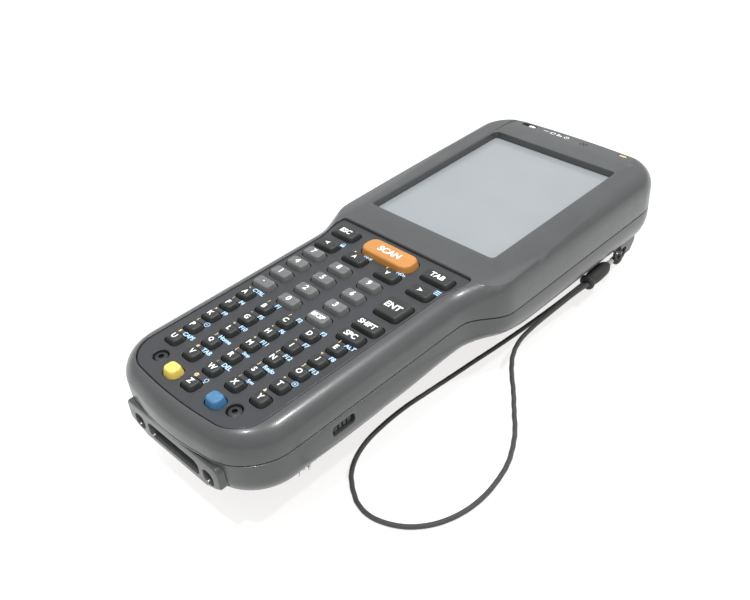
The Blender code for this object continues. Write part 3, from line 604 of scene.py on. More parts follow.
DARK_STEEL = metal("dark_steel", (0.1, 0.1, 0.1), 0.38)
GOLD = metal("gold_contact", (0.85, 0.62, 0.28), 0.25)
LENS = clear_plastic("clear_lens", (0.92, 0.93, 0.93), 0.15)
AMBER = clear_plastic("amber_lens", (0.75, 0.55, 0.3), 0.1, 0.25)
NECK_PLASTIC = clear_plastic("neck_plastic", (0.6, 0.6, 0.57), 0.35, 0.3)
WEBBING = woven("webbing", (0.03, 0.03, 0.03))
LOOP_PILE = woven("loop_pile", (0.022, 0.022, 0.022), 0.5)
CORD = braided("cord", (0.033, 0.034, 0.032))
WHITE_INK = printed("white_ink", (0.86, 0.87, 0.86))
BLUE_INK = printed("blue_ink", (0.42, 0.66, 0.86))
AMBER_INK = printed("amber_ink", (0.86, 0.66, 0.34))


# ---- camera

CAMERA_AT = Vector((0.1683, -0.1679, 0.1980))
CAMERA_AZIMUTH, CAMERA_ELEVATION, CAMERA_ROLL = 47.60, 37.13, -4.82
LENS_MM, SENSOR_MM = 42.72, 36.0


def make_camera():
    azimuth, elevation, roll = map(math.radians, (CAMERA_AZIMUTH, CAMERA_ELEVATION, CAMERA_ROLL))
    back = Vector((math.sin(azimuth) * math.cos(elevation), -math.cos(azimuth) * math.cos(elevation),
                   math.sin(elevation)))
    level = Vector((math.cos(azimuth), math.sin(azimuth), 0.0))
    upright = back.cross(level)
    right = level * math.cos(roll) + upright * math.sin(roll)
    up = back.cross(right)
    data = bpy.data.cameras.new("camera")
    data.lens, data.sensor_width = LENS_MM, SENSOR_MM
    data.clip_start, data.clip_end = 0.01, 20.0
    camera = bpy.data.objects.new("camera", data)
    bpy.context.scene.collection.objects.link(camera)
    turn = Matrix((right, up, back)).transposed()
    camera.matrix_world = Matrix.Translation(CAMERA_AT) @ turn.to_4x4()
    bpy.context.scene.camera = camera


# ---- lanyard


def lanyard():
    """A capsule and one loop of thin cord, held to the lug by a knotted thread."""
    points = smooth_path(CORD_ROUTE, 0.8)
    braid = lambda i, angle: CORD_DIAMETER / 2 * (
        0.97 + 0.035 * math.cos(3 * angle + i * 1.1) + 0.035 * math.cos(3 * angle - i * 1.1))
    mesh = tube(points, braid, 12)
    cord = piece("lanyard_cord_braid", mesh, CORD, stands_for=["lanyard_cord"])

    run = (NECK - CAPSULE_MOUTH).normalized()
    profile = [(0.0, 1.9), (0.15, 2.35), (0.45, 2.7), (0.9, 2.8), (1.4, 2.72), (1.9, 2.45), (2.4, 2.32),
               (3.2, 2.42), (4.6, 2.56), (7.0, 2.64), (9.4, 2.6), (11.0, 2.45), (12.2, 2.1), (13.1, 1.65),
               (13.7, 1.25), (14.0, 0.95)]
    mesh = turned(profile, CAPSULE_MOUTH, run, 40)
    capsule = piece("lanyard_capsule_body", mesh, RUBBER, stands_for=["lanyard_capsule"])

    neck = turned([(0.0, 0.8), (0.3, 1.05), (1.9, 0.95), (2.8, 0.75)], NECK - run * 0.2, run, 24)
    collar = piece("lanyard_neck", neck, NECK_PLASTIC)

    centre = NECK.lerp(LOOP, 0.4)
    turns = []
    for i in range(73):
        t = 2 * math.pi * i / 72
        reach = 1.05 + 0.5 * math.cos(3 * t)
        turns.append(centre + Vector((reach * math.cos(2 * t) * 0.95, 1.7 * math.sin(3 * t) * 0.8,
                                      reach * math.sin(2 * t) * 0.95)))
    strands = [tube(turns, 0.62, 10)]
    for side in (-1, 1):
        y, z = LUG_HOLE
        loop = [(34.7 + side * 0.3, 70.2, 10.0), (34.6 + side * 0.9, 73.0, 9.9)]
        loop += [(34.4 + side * 1.2, 75.6, 9.4), (32.6 + side * 2.1, 78.6, 9.3)]
        loop += [(32.5 + side * 1.6, y - 0.2, z - 0.1), (32.5, y + 0.35, z)]
        strands.append(tube(smooth_path(loop, 0.5), 0.45, 10))
    knot = piece("lanyard_knot_thread", joined(strands), CORD, stands_for=["lanyard_knot"])


# ---- covers


def shoulder(angle, y):
    """How far in and how far below the top the shoulder is at this angle of its curve, in degrees."""
    inset, drop = [], []
    for form in (GRIP_SHOULDER, HEAD_SHOULDER):
        u = math.cos(math.radians(angle)) ** (2 / form["power"])
        v = math.sin(math.radians(angle)) ** (2 / form["power"])
        inset.append(form["wide"] * (1 - u))
        drop.append(form["deep"] * (1 - v))
    return inset, blend(drop[0], drop[1], y)


def flared(outline, low, edge=0.35, reach=6.0):
    """A cutter through the front cover whose mouth is rounded over by edge."""
    rings = [at_height(outline, low)]
    for angle in (0, 30, 60, 90):
        out = edge * (1 - math.cos(math.radians(angle)))
        deep = edge * (1 - math.sin(math.radians(angle)))
        rings.append([(x, y, cover_top(x, y) - deep + 0.02) for x, y in grown(outline, out)])
    rings.append([(x, y, cover_top(x, y) + reach) for x, y in grown(outline, edge + 0.4)])
    return loft(rings)


def chamfer_point(x, y, depth=0.0):
    """A point on the sloping band at the top end, and the way it faces."""
    (y0, z0), (y1, z1) = BAND_PROFILE[2:4]
    normal = Vector((0.0, z0 - z1, y1 - y0)).normalized()
    return Vector((x, y, FACE_Z + z0 + (z1 - z0) * (y - y0) / (y1 - y0))) - normal * depth, normal


def band_cutter():
    """What is cut from the top end between the side rails: a flat band and then a sloping one."""
    rings = []
    for side, slant in ((-1, 1.7), (1, 0.12)):
        low = [(side * BAND_HALF, y, FACE_Z + z) for y, z in BAND_PROFILE]
        high = [(side * (BAND_HALF + slant * (12.0 - z)), y, FACE_Z + 12.0) for y, z in BAND_PROFILE]
        rings.append(low + high[::-1])
    return loft(rings)


def crease_cutter(side):
    """What is planed off the head's side: a facet falling away outwards from a crease by the window."""
    rings = []
    top, reach = FACE_Z + HEAD_RISE + HEAD_CROWN, 15.0
    for y, crease in CREASE:
        far = crease + reach
        ring = [(crease, top), (far, top - reach * CREASE_FALL), (far, top + 8.0), (crease, top + 8.0)]
        rings.append([(side * x, y, z) for x, z in ring])
    return loft(rings)


def slanted_hole(centre, normal, size, radius, deep):
    """A rounded hole sunk at right angles into the sloping band."""
    across = Vector((1.0, 0.0, 0.0))
    up = normal.cross(across)
    rings = []
    for distance in (-deep, 2.0):
        ring = rounded((0, 0), size, radius)
        rings.append([tuple(centre + across * u + up * v + normal * distance) for u, v in ring])
    return loft(rings)


LENS_Y, LAMP_Y, MARKS_Y, HOLES_Y = 94.2, 94.6, 94.0, 93.2
STATUS_X, CHARGE_X, HOLES_X = -20.5, 21.0, 5.0
SOUND_HOLES = [(-1.3, 0.0), (0.0, 0.0), (1.3, 0.0)] + [(x, y) for y in (0.95, -0.95) for x in (-0.65, 0.65)]


def front_cover():
    inner = [
        body_ring(6.0, 5.0, lambda y: FACE_Z - 3.2),
        body_ring(3.4, 3.2, lambda y: FACE_Z - 5.4),
        body_ring(WALL + 0.2, WALL + 0.2, near_seam(SEAM_GAP)),
        body_ring(0.3, 0.3, near_seam(SEAM_GAP)),
        body_ring(0.06, 0.06, near_seam(SEAM_GAP + 0.12)),
        body_ring(0.0, 0.0, near_seam(SEAM_GAP + 0.4)),
    ]
    top = lambda y: FACE_Z + blend(0.0, HEAD_RISE, y)
    outer = []
    for angle in range(0, 91, 9):
        (grip, head), _ = shoulder(angle, 0.0)
        outer.append(body_ring(grip, head, lambda y, a=angle: top(y) - shoulder(a, y)[1]))
    for share in (0.3, 0.65, 1.0):
        rise = lambda y, s=share: top(y) + blend(0.0, HEAD_CROWN, y) * s
        grip, head = GRIP_SHOULDER["wide"], HEAD_SHOULDER["wide"]
        outer.append(body_ring(grip + 2.0 * share, head + CROWN_WIDTH * share, rise))
    mesh = loft(inner + outer, strips=True)

    window = rounded(WINDOW_CENTRE, WINDOW_SIZE, 1.2)
    pocket = grown(panel_outline(), CLEAR)
    status, normal = chamfer_point(STATUS_X, LENS_Y)
    charge = chamfer_point(CHARGE_X, LAMP_Y)[0]
    cutters = [
        flared(pocket, PANEL_LOW.z - CLEAR, 0.3),
        prism(panel_outline(0.55), 30.0, PANEL_LOW.z),
        flared(window, 30.0, 0.9),
        block((-WINDOW_HALF - 3, WINDOW_LOW_Y - 3, 30.0), (WINDOW_HALF + 3, WINDOW_HIGH_Y + 3, 35.6)),
        band_cutter(),
        crease_cutter(-1),
        crease_cutter(1),
        slanted_hole(status, normal, (6.6, 2.9), 1.4, 1.1),
        slanted_hole(charge, normal, (3.6, 1.9), 0.9, 0.8),
    ]
    holes = []
    for dx, dy in SOUND_HOLES:
        centre = chamfer_point(HOLES_X + dx, HOLES_Y + dy)[0]
        holes.append(turned([(-1.2, 0.36), (1.5, 0.36)], centre, normal, 12))
    mesh = carve(mesh, [*cutters, joined(holes)])
    piece("front_cover_shell", mesh, SHELL, stands_for=["front_cover"], sharp=17)


BULGE_PROFILE = ((5.0, 0.0), (4.4, 0.08), (3.8, 0.4), (3.4, 0.9), (2.9, 2.0), (0.4, 7.6), (0.0, 9.0),
                 (-0.6, 11.5))  # (inset, z)


def bulge_ring(inset, z):
    """A ring round the scan engine's housing under the head, moved in by inset."""
    low, high = 32.0, 90.0
    size = (2 * (21.0 - inset), high - low - 2 * inset)
    return at_height(rounded((0.0, (low + high) / 2), size, 7.0 - inset / 2, 8), z)


def plate_across(outline, x0, x1):
    """A plate of this (y, z) outline, from x0 to x1."""
    return loft([[(x, y, z) for y, z in outline] for x in sorted((x0, x1))])


def lugs():
    """The ears of the strap's two pins, and the lanyard's lug."""
    made = []
    for side in (-1, 1):
        near, far = side * (STRAP_HALF + 0.8), side * (STRAP_HALF + 3.4)
        y, z = UPPER_PIN
        nose = arc((y + 0.4, z - 0.4), 2.4, 190, 330, 8)
        made.append(plate_across([*nose, (y + 6, 12.0), (y - 4, 12.0)], near, far))
        y, z = LOWER_PIN
        nose = arc((y, z), 2.0, 190, 350, 8)
        made.append(plate_across([*nose, (y + 2.6, 15.6), (y - 2.4, 15.6)], near, far))
    y, z = LUG_HOLE
    nose = arc((y + 0.2, z + 0.2), 2.6, 175, 280, 8)
    outline = [*nose, (y + 4, z - 2.2), (y + 6.4, z + 1), (y + 6.4, 13.2), (y - 2.6, 13.2)]
    made.append(plate_across(outline, 31.2, 33.8))
    return made


COLLAR_Z, COLLAR_FACE_Y, SLOT_Z = (16.3, 26.8), -94.1, 21.0
COLLAR_EDGE = 0.6
POCKET_TOP_Z, POCKET_Y = 27.6, -92.9


def dock_outline():
    """The charging socket's bezel from behind: (x, z), narrower at its foot."""
    side, foot = cad("dock_bezel")[1].x, 15.0
    low, high = COLLAR_Z
    right = arc((foot - 1.0, low + 1.2), 1.2, -90, -30, 3)
    right += [(foot + 3.6, low + 1.7)]
    right += arc((side - 1.6, low + 4.2), 1.6, -40, 0, 3)
    right += arc((side - 2.0, high - 2.0), 2.0, 0, 90, 6)
    return right + [(-x, z) for x, z in reversed(right)]


def dock_plate(outline, y):
    """The outline as a ring at this y."""
    return [(x, y, z) for x, z in outline]


LATCHES = ((-1, "battery_latch_left"), (1, "battery_latch_right"))


def rear_cover():
    round_start = lambda y: blend(21.8, 22.0, y)
    outside = [
        body_ring(0.3, 0.3, near_seam(-SEAM_GAP)),
        body_ring(0.06, 0.06, near_seam(-SEAM_GAP - 0.12)),
        body_ring(0.0, 0.0, near_seam(-SEAM_GAP - 0.4), 0.1),
    ]
    for angle in range(0, 91, 9):
        a = math.radians(angle)
        inset, lean = 1 - math.cos(a), 0.2 + 0.8 * math.sin(a)
        height = lambda y, a=a: round_start(y) - (round_start(y) - floor_z(y)) * math.sin(a)
        outside.append(body_ring(9.0 * inset, 10.5 * inset, height, lean))
    inner_floor = lambda y: floor_z(y) + WALL
    inside = [
        body_ring(WALL + 0.2, WALL + 0.2, near_seam(-SEAM_GAP)),
        body_ring(WALL + 0.6, WALL + 0.8, lambda y: blend(20.4, 18.8, y), 1.2),
        body_ring(5.2, 6.2, lambda y: inner_floor(y) + blend(1.4, 2.2, y), 2.4),
        body_ring(9.5, 11.0, inner_floor, 3.0),
    ]
    shell = loft(list(reversed(outside)) + inside, strips=True)
    bulge = loft([bulge_ring(inset, z) for inset, z in BULGE_PROFILE])
    near, far = PIN_RECESS_Y
    half = STRAP_HALF + 2.6
    housing = block((-half, near - 1.2, GRIP_FLOOR_Z + 1.2), (half, far + 0.6, PIN_RECESS_Z + 1.6))
    shell = carve(shell, [bulge, housing, *lugs()], "UNION")

    middle, size = middle_and_size("battery_pack")
    bay = rounded(middle.xy, [side + 2 * CLEAR for side in size.xy], 2.3)
    openings = [prism(bay, 8.0, middle.z + size.z / 2 - 2.0)]
    outline = grown(dock_outline(), CLEAR)
    openings.append(loft([dock_plate(outline, -105.0), dock_plate(outline, -87.4)]))
    side, top = cad("dock_bezel")[1].x + 1.6, POCKET_TOP_Z
    pocket = [(19.5, 8.0), (19.5, 15.0), (side, 20.6), *arc((side - 2.0, top - 2.0), 2.0, 0, 90, 5)]
    pocket += [(-x, z) for x, z in reversed(pocket)]
    openings.append(loft([dock_plate(pocket, -105.0), dock_plate(pocket, POCKET_Y)]))
    recess = rounded((0.0, (near + far) / 2), (2 * STRAP_HALF + 1.4, far - near), 1.0)
    openings.append(prism(recess, 8.0, PIN_RECESS_Z))
    middle, size = middle_and_size("scan_window")
    mouth = rounded((0.0, middle.z), (size.x + 2 * CLEAR, size.z + 2 * CLEAR), 2.0)
    rings = [[(x * flare, y, z) for x, z in mouth] for y, flare in ((90.0, 1.0), (97.2, 1.0), (106.0, 1.12))]
    openings.append(loft(rings))
    for side, latch in LATCHES:
        middle, size = middle_and_size(latch)
        slot = rounded(middle.yz, [length + 2 * CLEAR for length in size.yz], 1.1)
        openings.append(plate_across(slot, side * 25.0, side * 40.0))
        for y in (27.0, 37.0, 47.0):
            openings.append(plate_across(rounded((y, 12.7), (3.4, 4.6), 0.8), side * 30.6, side * 38.0))
    for number in range(1, 5):
        middle, size = middle_and_size(f"case_screw_{number}")
        profile = [(0.0, 3.2), (3.0, 2.3), (middle.z + size.z / 2 - 3.0, 2.3)]
        openings.append(turned(profile, (middle.x, middle.y, 5.0), UP, 20))
    hollow = loft([bulge_ring(7.0, 2.4), bulge_ring(3.0, 9.0), bulge_ring(2.4, 14.0)])
    speaker = [turned([(-1.0, 0.6), (3.0, 0.6)], (x * 2.4, 46.0 + y * 2.4, 0.0), UP, 12)
               for x in range(-2, 3) for y in range(-2, 3) if abs(x) + abs(y) < 4]
    bore = [(0.0, 1.3), (52.0, 1.3)]
    pins = [turned(bore, (-26.0, y, z), (1, 0, 0), 20) for y, z in (UPPER_PIN, LOWER_PIN)]
    pins.append(turned([(0.0, 1.2), (8.0, 1.2)], (29.0, *LUG_HOLE), (1, 0, 0), 16))
    shell = carve(shell, [hollow, *openings, joined(pins), joined(speaker)])
    piece("rear_cover_shell", shell, SHELL, stands_for=["rear_cover"], sharp=32)


def dock():
    """The charging socket's bezel: a rounded collar with a long contact slot and a window each side."""
    back = cad("dock_bezel")[1].y
    outline = dock_outline()
    rings = [dock_plate(outline, back)]
    for angle in (0, 30, 60, 90):
        a = math.radians(angle)
        ring = grown(outline, -COLLAR_EDGE * (1 - math.cos(a)))
        rings.append(dock_plate(ring, COLLAR_FACE_Y + COLLAR_EDGE * (1 - math.sin(a))))
    mesh = loft(rings)
    slots = []
    face = COLLAR_FACE_Y
    flare = ((back + 5, 0.0), (face + 1.6, 0.0), (face - 0.1, 0.5), (face - 9.0, 1.4))
    for x, wide, tall in ((0.0, 23.0, 4.4), (-16.2, 3.8, 4.2), (16.2, 3.8, 4.2)):
        mouth = rounded((x, SLOT_Z), (wide, tall), 1.6)
        slots.append(loft([dock_plate(grown(mouth, out), y) for y, out in flare]))
    mesh = carve(mesh, slots[:1])
    mesh = carve(mesh, slots[1:])
    piece("dock_bezel_collar", mesh, SHELL, stands_for=["dock_bezel"], sharp=40)
    y = cad("dock_connector")[0].y - 1.6
    fingers = []
    for i in range(10):
        outline = rounded((2.2 * i - 9.9, y), (1.0, 3.0), 0.4, 3)
        fingers.append(prism(outline, SLOT_Z - 1.1, SLOT_Z - 0.6))
    piece("dock_contacts", joined(fingers), GOLD)


# ---- keys and their legends


KEY_CROWN = 0.06


def key_rings(centre, size, radius, foot, top):
    """Rings of a key: straight sides to the panel, then leaning in to a rounded, crowned top."""
    outline = rounded(centre, size, radius, 7)
    rings = [at_height(outline, foot), at_height(outline, PANEL_TOP_Z - 0.2)]
    edge = 0.75
    for angle in (0, 22, 45, 67, 90):
        a = math.radians(angle)
        ring = grown(outline, -0.45 - edge * (1 - math.cos(a)))
        rings.append(at_height(ring, top - KEY_CROWN - edge * (1 - math.sin(a))))
    x0, y0 = centre
    flat = grown(outline, -0.45 - edge)
    for share in (0.75, 0.45, 0.15):
        z = top - KEY_CROWN + KEY_CROWN * (1 - share**2)
        rings.append([(x0 + (x - x0) * share, y0 + (y - y0) * share, z) for x, y in flat])
    return rings


def laid(mesh, centre, z, height=None):
    """Lay a print mesh, drawn in millimetres round the origin, flat at z, so that none of it sinks in."""
    xs, ys = [v.co.x for v in mesh.vertices], [v.co.y for v in mesh.vertices]
    middle = ((min(xs) + max(xs)) / 2, (min(ys) + max(ys)) / 2)
    scale = height / (max(ys) - min(ys)) if height else 1.0
    for vertex in mesh.vertices:
        x = centre[0] + (vertex.co.x - middle[0]) * scale
        y = centre[1] + (vertex.co.y - middle[1]) * scale
        vertex.co = Vector((x, y, z + PRINT_THICK / 2 + vertex.co.z)) * MM
    return mesh


PRINT_THICK = 0.03


def words(text, bold=0.04):
    """Printed words as a thin solid, about 1 mm tall."""
    curve = bpy.data.curves.new("words", "FONT")
    curve.body, curve.size, curve.offset = text, 1.4, bold
    curve.extrude, curve.resolution_u = PRINT_THICK / 2, 3
    holder = bpy.data.objects.new("words", curve)
    bpy.context.scene.collection.objects.link(holder)
    bpy.context.view_layer.update()
    mesh = bpy.data.meshes.new_from_object(holder.evaluated_get(bpy.context.evaluated_depsgraph_get()))
    bpy.data.objects.remove(holder)
    build = bmesh.new()
    build.from_mesh(mesh)
    bmesh.ops.remove_doubles(build, verts=build.verts, dist=1e-5)
    return finished(build)


def shape(outlines):
    """Printed shapes as thin solids: each is an outline, or an outer one and an inner one for a ring."""
    build = bmesh.new()
    for outline in outlines:
        loops = outline if isinstance(outline[0], list) else [outline]
        rows = []
        for loop in loops:
            for z in (-PRINT_THICK / 2, PRINT_THICK / 2):
                rows.append([build.verts.new((x, y, z)) for x, y in loop])
        count = len(rows[0])
        if len(loops) == 1:
            build.faces.new(rows[0])
            build.faces.new(rows[1])
            pairs = [(rows[0], rows[1])]
        else:
            pairs = [(rows[0], rows[1]), (rows[2], rows[3]), (rows[0], rows[2]), (rows[1], rows[3])]
        for one, other in pairs:
            for i in range(count):
                j = (i + 1) % count
                build.faces.new((one[i], one[j], other[j], other[i]))
    return finished(build)


def hoop(radius, thick, centre=(0.0, 0.0), steps=24):
    full = 360 - 360 / steps
    return [arc(centre, radius, 0, full, steps - 1), arc(centre, radius - thick, 0, full, steps - 1)]


def dart(angle):
    """An arrowhead with a notched tail, pointing at this angle."""
    turn = Matrix.Rotation(math.radians(angle), 2)
    return [tuple(turn @ Vector(p)) for p in ((1.25, 0.0), (-0.9, 0.95), (-0.4, 0.0), (-0.9, -0.95))]


ICONS = {
    "left": lambda: shape([dart(180)]),
    "right": lambda: shape([dart(0)]),
    "up": lambda: shape([dart(90)]),
    "down": lambda: shape([dart(270)]),
    "minus": lambda: shape([hoop(0.95, 0.18), bar(-0.5, -0.1, 0.5, 0.1)]),
    "plus": lambda: shape([hoop(0.95, 0.18), bar(-0.5, -0.1, -0.1, 0.1), bar(0.1, -0.1, 0.5, 0.1),
                           bar(-0.1, -0.5, 0.1, 0.5)]),
    "bulb": lambda: shape([hoop(0.72, 0.18, (0.0, 0.3)), bar(-0.3, -0.9, 0.3, -0.6)]),
    "lock": lambda: shape([hoop(0.55, 0.18, (0.0, 0.35)), bar(-0.75, -0.85, 0.75, 0.15)]),
    "menu": lambda: shape([bar(-0.8, y, 0.8, y + 0.3) for y in (-0.75, -0.15, 0.45)]),
}
SIDE_LEGENDS = (
    "CTRL", "F1", "F2", "F3", "ALT", "F4", "F5", "F6", "F7", "F8", "F9", "F10", "F11", "F12", "F13",
    "minus", "Home", "Stop", "Redo", "plus", "CAPS", "TAB", "DEL", "Sym", None, "bulb",
)
SMALL_SIGNS = "~/?'|!-\"^<>=+[](){}*$#:;&@_"
KEY_LEGENDS = {
    # body: (legend, cap height)
    "key_esc": ("ESC", 2.1), "key_scan": ("SCAN", 2.7), "key_tab": ("TAB", 2.2), "key_left": ("left", 1.7),
    "key_up": ("up", 1.9), "key_down": ("down", 1.9), "key_right": ("right", 1.7), "key_ent": ("ENT", 2.4),
    "key_shift": ("SHIFT", 2.0), "key_spc": ("SPC", 2.1), "key_bksp": ("BKSP", 1.8), "key_dot": ("dot", 0.5),
}
KEY_FINISH = {"key_scan": ORANGE_KEY, "key_yellow": YELLOW_KEY, "key_blue": BLUE_KEY}
TALL_KEY_RISE = 0.6
KEY_INSET, GREY_KEY_INSET = 0.1, 0.4  # how much narrower a drawn cap is, each side, than its CAD block
CORNERS = {"key_scan": 3.4, "key_yellow": 2.0, "key_blue": 2.0}


def drawn(legend):
    if legend == "dot":
        return shape([arc((0, 0), 0.3, 0, 330, 11)])
    return ICONS[legend]() if legend in ICONS else words(legend)


def letter_places():
    """Where the letter keys are: five bowed rows of five, each a little narrower, and one below."""
    places = []
    for row in range(5):
        for column in range(5):
            x = (column - 2) * (LETTER_PITCH[0] - LETTER_TAPER * row)
            places.append((x, LETTER_TOP_Y - LETTER_PITCH[1] * row + LETTER_SAG * (x / 20.0) ** 2))
    return places + [LAST_LETTER_AT]


def hard_keys():
    """The keys that travel on joints, each with its legend. Gives the outlines of the panel's holes."""
    holes = []
    for body in sorted(frame["bodies"]):
        if not body.startswith("key_"):
            continue
        low, high = cad(body)
        centre = ((low.x + high.x) / 2, (low.y + high.y) / 2)
        name = body.removeprefix("key_")
        grey = name.isdigit() or name in ("dot", "bksp")
        inset = GREY_KEY_INSET if grey else KEY_INSET
        size = [side - 2 * inset for side in (high.x - low.x, high.y - low.y)]
        finish = KEY_FINISH.get(body, GREY_KEY if grey else BLACK_KEY)
        radius = CORNERS.get(body, 1.6)
        top = high.z + (TALL_KEY_RISE if body in ("key_yellow", "key_blue") else 0.0)
        rings = key_rings(centre, size, radius, low.z, top)
        piece(body + "_cap", loft(rings), finish, body, [body], sharp=50)
        holes.append(rounded(centre, [s + 2 * CLEAR for s in size], radius + CLEAR, 6))
        legend, tall = KEY_LEGENDS.get(body, (name, 2.2) if name.isdigit() else (None, 0))
        if legend:
            mesh = laid(drawn(legend), centre, high.z, tall)
            piece(body + "_legend", mesh, WHITE_INK, body, sharp=50)
    return holes


def letter_keys():
    """The 26 letter keys, moulded on one mat, and what is printed on and round them."""
    foot = cad("keypad_mat")[0].z
    meshes = [prism(panel_outline(0.2), foot, foot + 0.8)]
    white, blue, amber, holes = [], [], [], []
    top = PANEL_TOP_Z + LETTER_RISE
    for letter, centre, side, sign in zip(LETTERS, letter_places(), SIDE_LEGENDS, SMALL_SIGNS):
        meshes.append(loft(key_rings(centre, LETTER_SIZE, LETTER_RADIUS, foot + 0.3, top)))
        holes.append(rounded(centre, [s + 2 * CLEAR for s in LETTER_SIZE], LETTER_RADIUS + CLEAR, 6))
        white.append(laid(words(letter), centre, top, 1.85))
        above = centre[1] + 3.35
        if side:
            tall = 1.9 if side in ICONS else 1.55
            blue.append(laid(drawn(side), (centre[0] + 2.0, above), PANEL_TOP_Z, tall))
        amber.append(laid(words(sign, 0.03), (centre[0] - 2.2, above), PANEL_TOP_Z))
    for key, side in (("key_left", "lock"), ("key_up", "PgUp"), ("key_down", "PgDn"), ("key_right", "menu")):
        x, y = middle_and_size(key)[0].xy
        y += 3.5
        shift, tall = (3.6, 1.9) if side in ICONS else (2.4, 1.6)
        blue.append(laid(drawn(side), (x + shift, y), PANEL_TOP_Z, tall))
        if side not in ICONS:
            amber.append(laid(drawn(key.removeprefix("key_")), (x - 3.4, y), PANEL_TOP_Z, 0.9))
    mat = joined(meshes)
    piece("letter_key_mat", mat, BLACK_KEY, stands_for=["keypad_mat"], sharp=50)
    piece("letter_legends", joined(white), WHITE_INK)
    piece("blue_legends", joined(blue), BLUE_INK)
    piece("amber_legends", joined(amber), AMBER_INK)
    return holes


def keypad_panel(holes):
    """The panel round the keys, with its edge rounded over, and the two recessed screws."""
    outline = panel_outline()
    rings = [at_height(outline, PANEL_LOW.z)]
    for out, down in ((0.0, 0.3), (0.07, 0.12), (0.25, 0.0)):
        rings.append(at_height(grown(outline, -out), PANEL_TOP_Z - down))
    cutters = [prism(hole, PANEL_LOW.z - 2, PANEL_TOP_Z + 3) for hole in holes]
    for node in ("panel_screw_left", "panel_screw_right"):
        foot = (*middle_and_size(node)[0].xy, 0)
        bore = [(34.0, 2.4), (PANEL_TOP_Z - 0.25, 2.4), (PANEL_TOP_Z + 0.35, 3.0)]
        cutters.append(turned(bore, foot, UP, 36))
        profile = [(30.6, 0.9), (35.9, 0.9), (36.0, 2.05), (36.9, 2.1), (37.2, 1.95), (37.35, 1.6)]
        head = turned(profile, foot, UP, 36)
        socket = turned([(36.4, 0.85), (39.0, 1.0)], foot, UP, 6)
        piece(node + "_head", carve(head, [socket]), DARK_STEEL, stands_for=[node])
    mesh = carve(loft(rings), [joined(cutters)])
    piece("keypad_panel_plate", mesh, PANEL, stands_for=["keypad_panel"], sharp=30)


def touch_glass():
    """The touch screen's glass, filling the window down to its seat."""
    face = rounded(WINDOW_CENTRE, [side - 0.3 for side in WINDOW_SIZE], 1.1)
    mesh = prism(face, GLASS_LOW.z, GLASS_FACE_Z)
    piece("touch_glass", mesh, GLASS, stands_for=["touch_panel"])


# ---- lamps and marks on the top end


def slanted_lens(name, finish, node, place, centre, size, profile):
    """A lamp's lens, standing up out of its hole in the sloping band."""
    start, normal = place
    across, up = Vector((1, 0, 0)), normal.cross(Vector((1, 0, 0)))
    rings = []
    for distance, inset in profile:
        ring = inset_plate(centre, size, size[1] / 2 - 0.05, inset)
        rings.append([tuple(start + across * u + up * v + normal * distance) for u, v in ring])
    piece(name, loft(rings), finish, stands_for=[node])


def top_end_details():
    """The two lamps' lenses and the generic marks printed between them."""
    slanted_lens("status_lens", LENS, "status_lamp", chamfer_point(STATUS_X, LENS_Y, 1.1),
                 (1.2, 0), (3.8, 2.6), ((-2.5, 0.25), (0.5, 0.25), (0.85, 0.45), (1.05, 0.85)))
    slanted_lens("charge_lens", AMBER, "charge_lamp", chamfer_point(CHARGE_X, LAMP_Y, 0.8),
                 (0, 0), (3.4, 1.7), ((-2.5, 0.1), (0.5, 0.1), (0.75, 0.25), (0.85, 0.5)))
    stairs = [bar(-0.7, -0.7, -0.3, 0.7), bar(0.0, -0.7, 0.35, 0.3), bar(0.6, -0.7, 0.9, 0.0)]
    marks = []
    for x, outline in ((-12.6, [bar(-0.9, -0.12, 0.9, 0.12)]), (-9.4, [hoop(0.8, 0.24)]), (-6.4, stairs),
                       (-3.2, [hoop(0.8, 0.22), bar(-0.15, -0.15, 0.15, 0.15)])):
        centre, normal = chamfer_point(x, MARKS_Y)
        across, up = Vector((1, 0, 0)), normal.cross(Vector((1, 0, 0)))
        mesh = shape(outline)
        for vertex in mesh.vertices:
            u, v, w = vertex.co
            vertex.co = (centre + (across * u + up * v) * 1.35 + normal * (w + 0.012)) * MM
        marks.append(mesh)
    piece("top_end_marks", joined(marks), WHITE_INK)


# ---- latches, pins and strap


def latches():
    """The battery's two side buttons, each with three grooves for the finger."""
    for side, node in LATCHES:
        low, high = cad(node)
        middle = ((low.y + high.y) / 2, (low.z + high.z) / 2)
        size = (high.y - low.y, high.z - low.z)
        rings = []
        outer, inner = (high.x, low.x) if side > 0 else (low.x, high.x)
        for x, inset in ((inner, 0.0), (outer - side * 0.7, 0.0), (outer - side * 0.2, 0.2), (outer, 0.6)):
            rings.append([(x, y, z) for y, z in inset_plate(middle, size, 0.9, inset, 0.6)])
        grooves = []
        for dy in (-1.6, 0.0, 1.6):
            groove = rounded((middle[0] + dy, middle[1]), (0.6, 1.9), 0.25, 3)
            grooves.append(plate_across(groove, outer - side * 0.35, outer + side))
        mesh = carve(loft(rings), [joined(grooves)])
        piece(node + "_button", mesh, BLACK_KEY, node, [node])


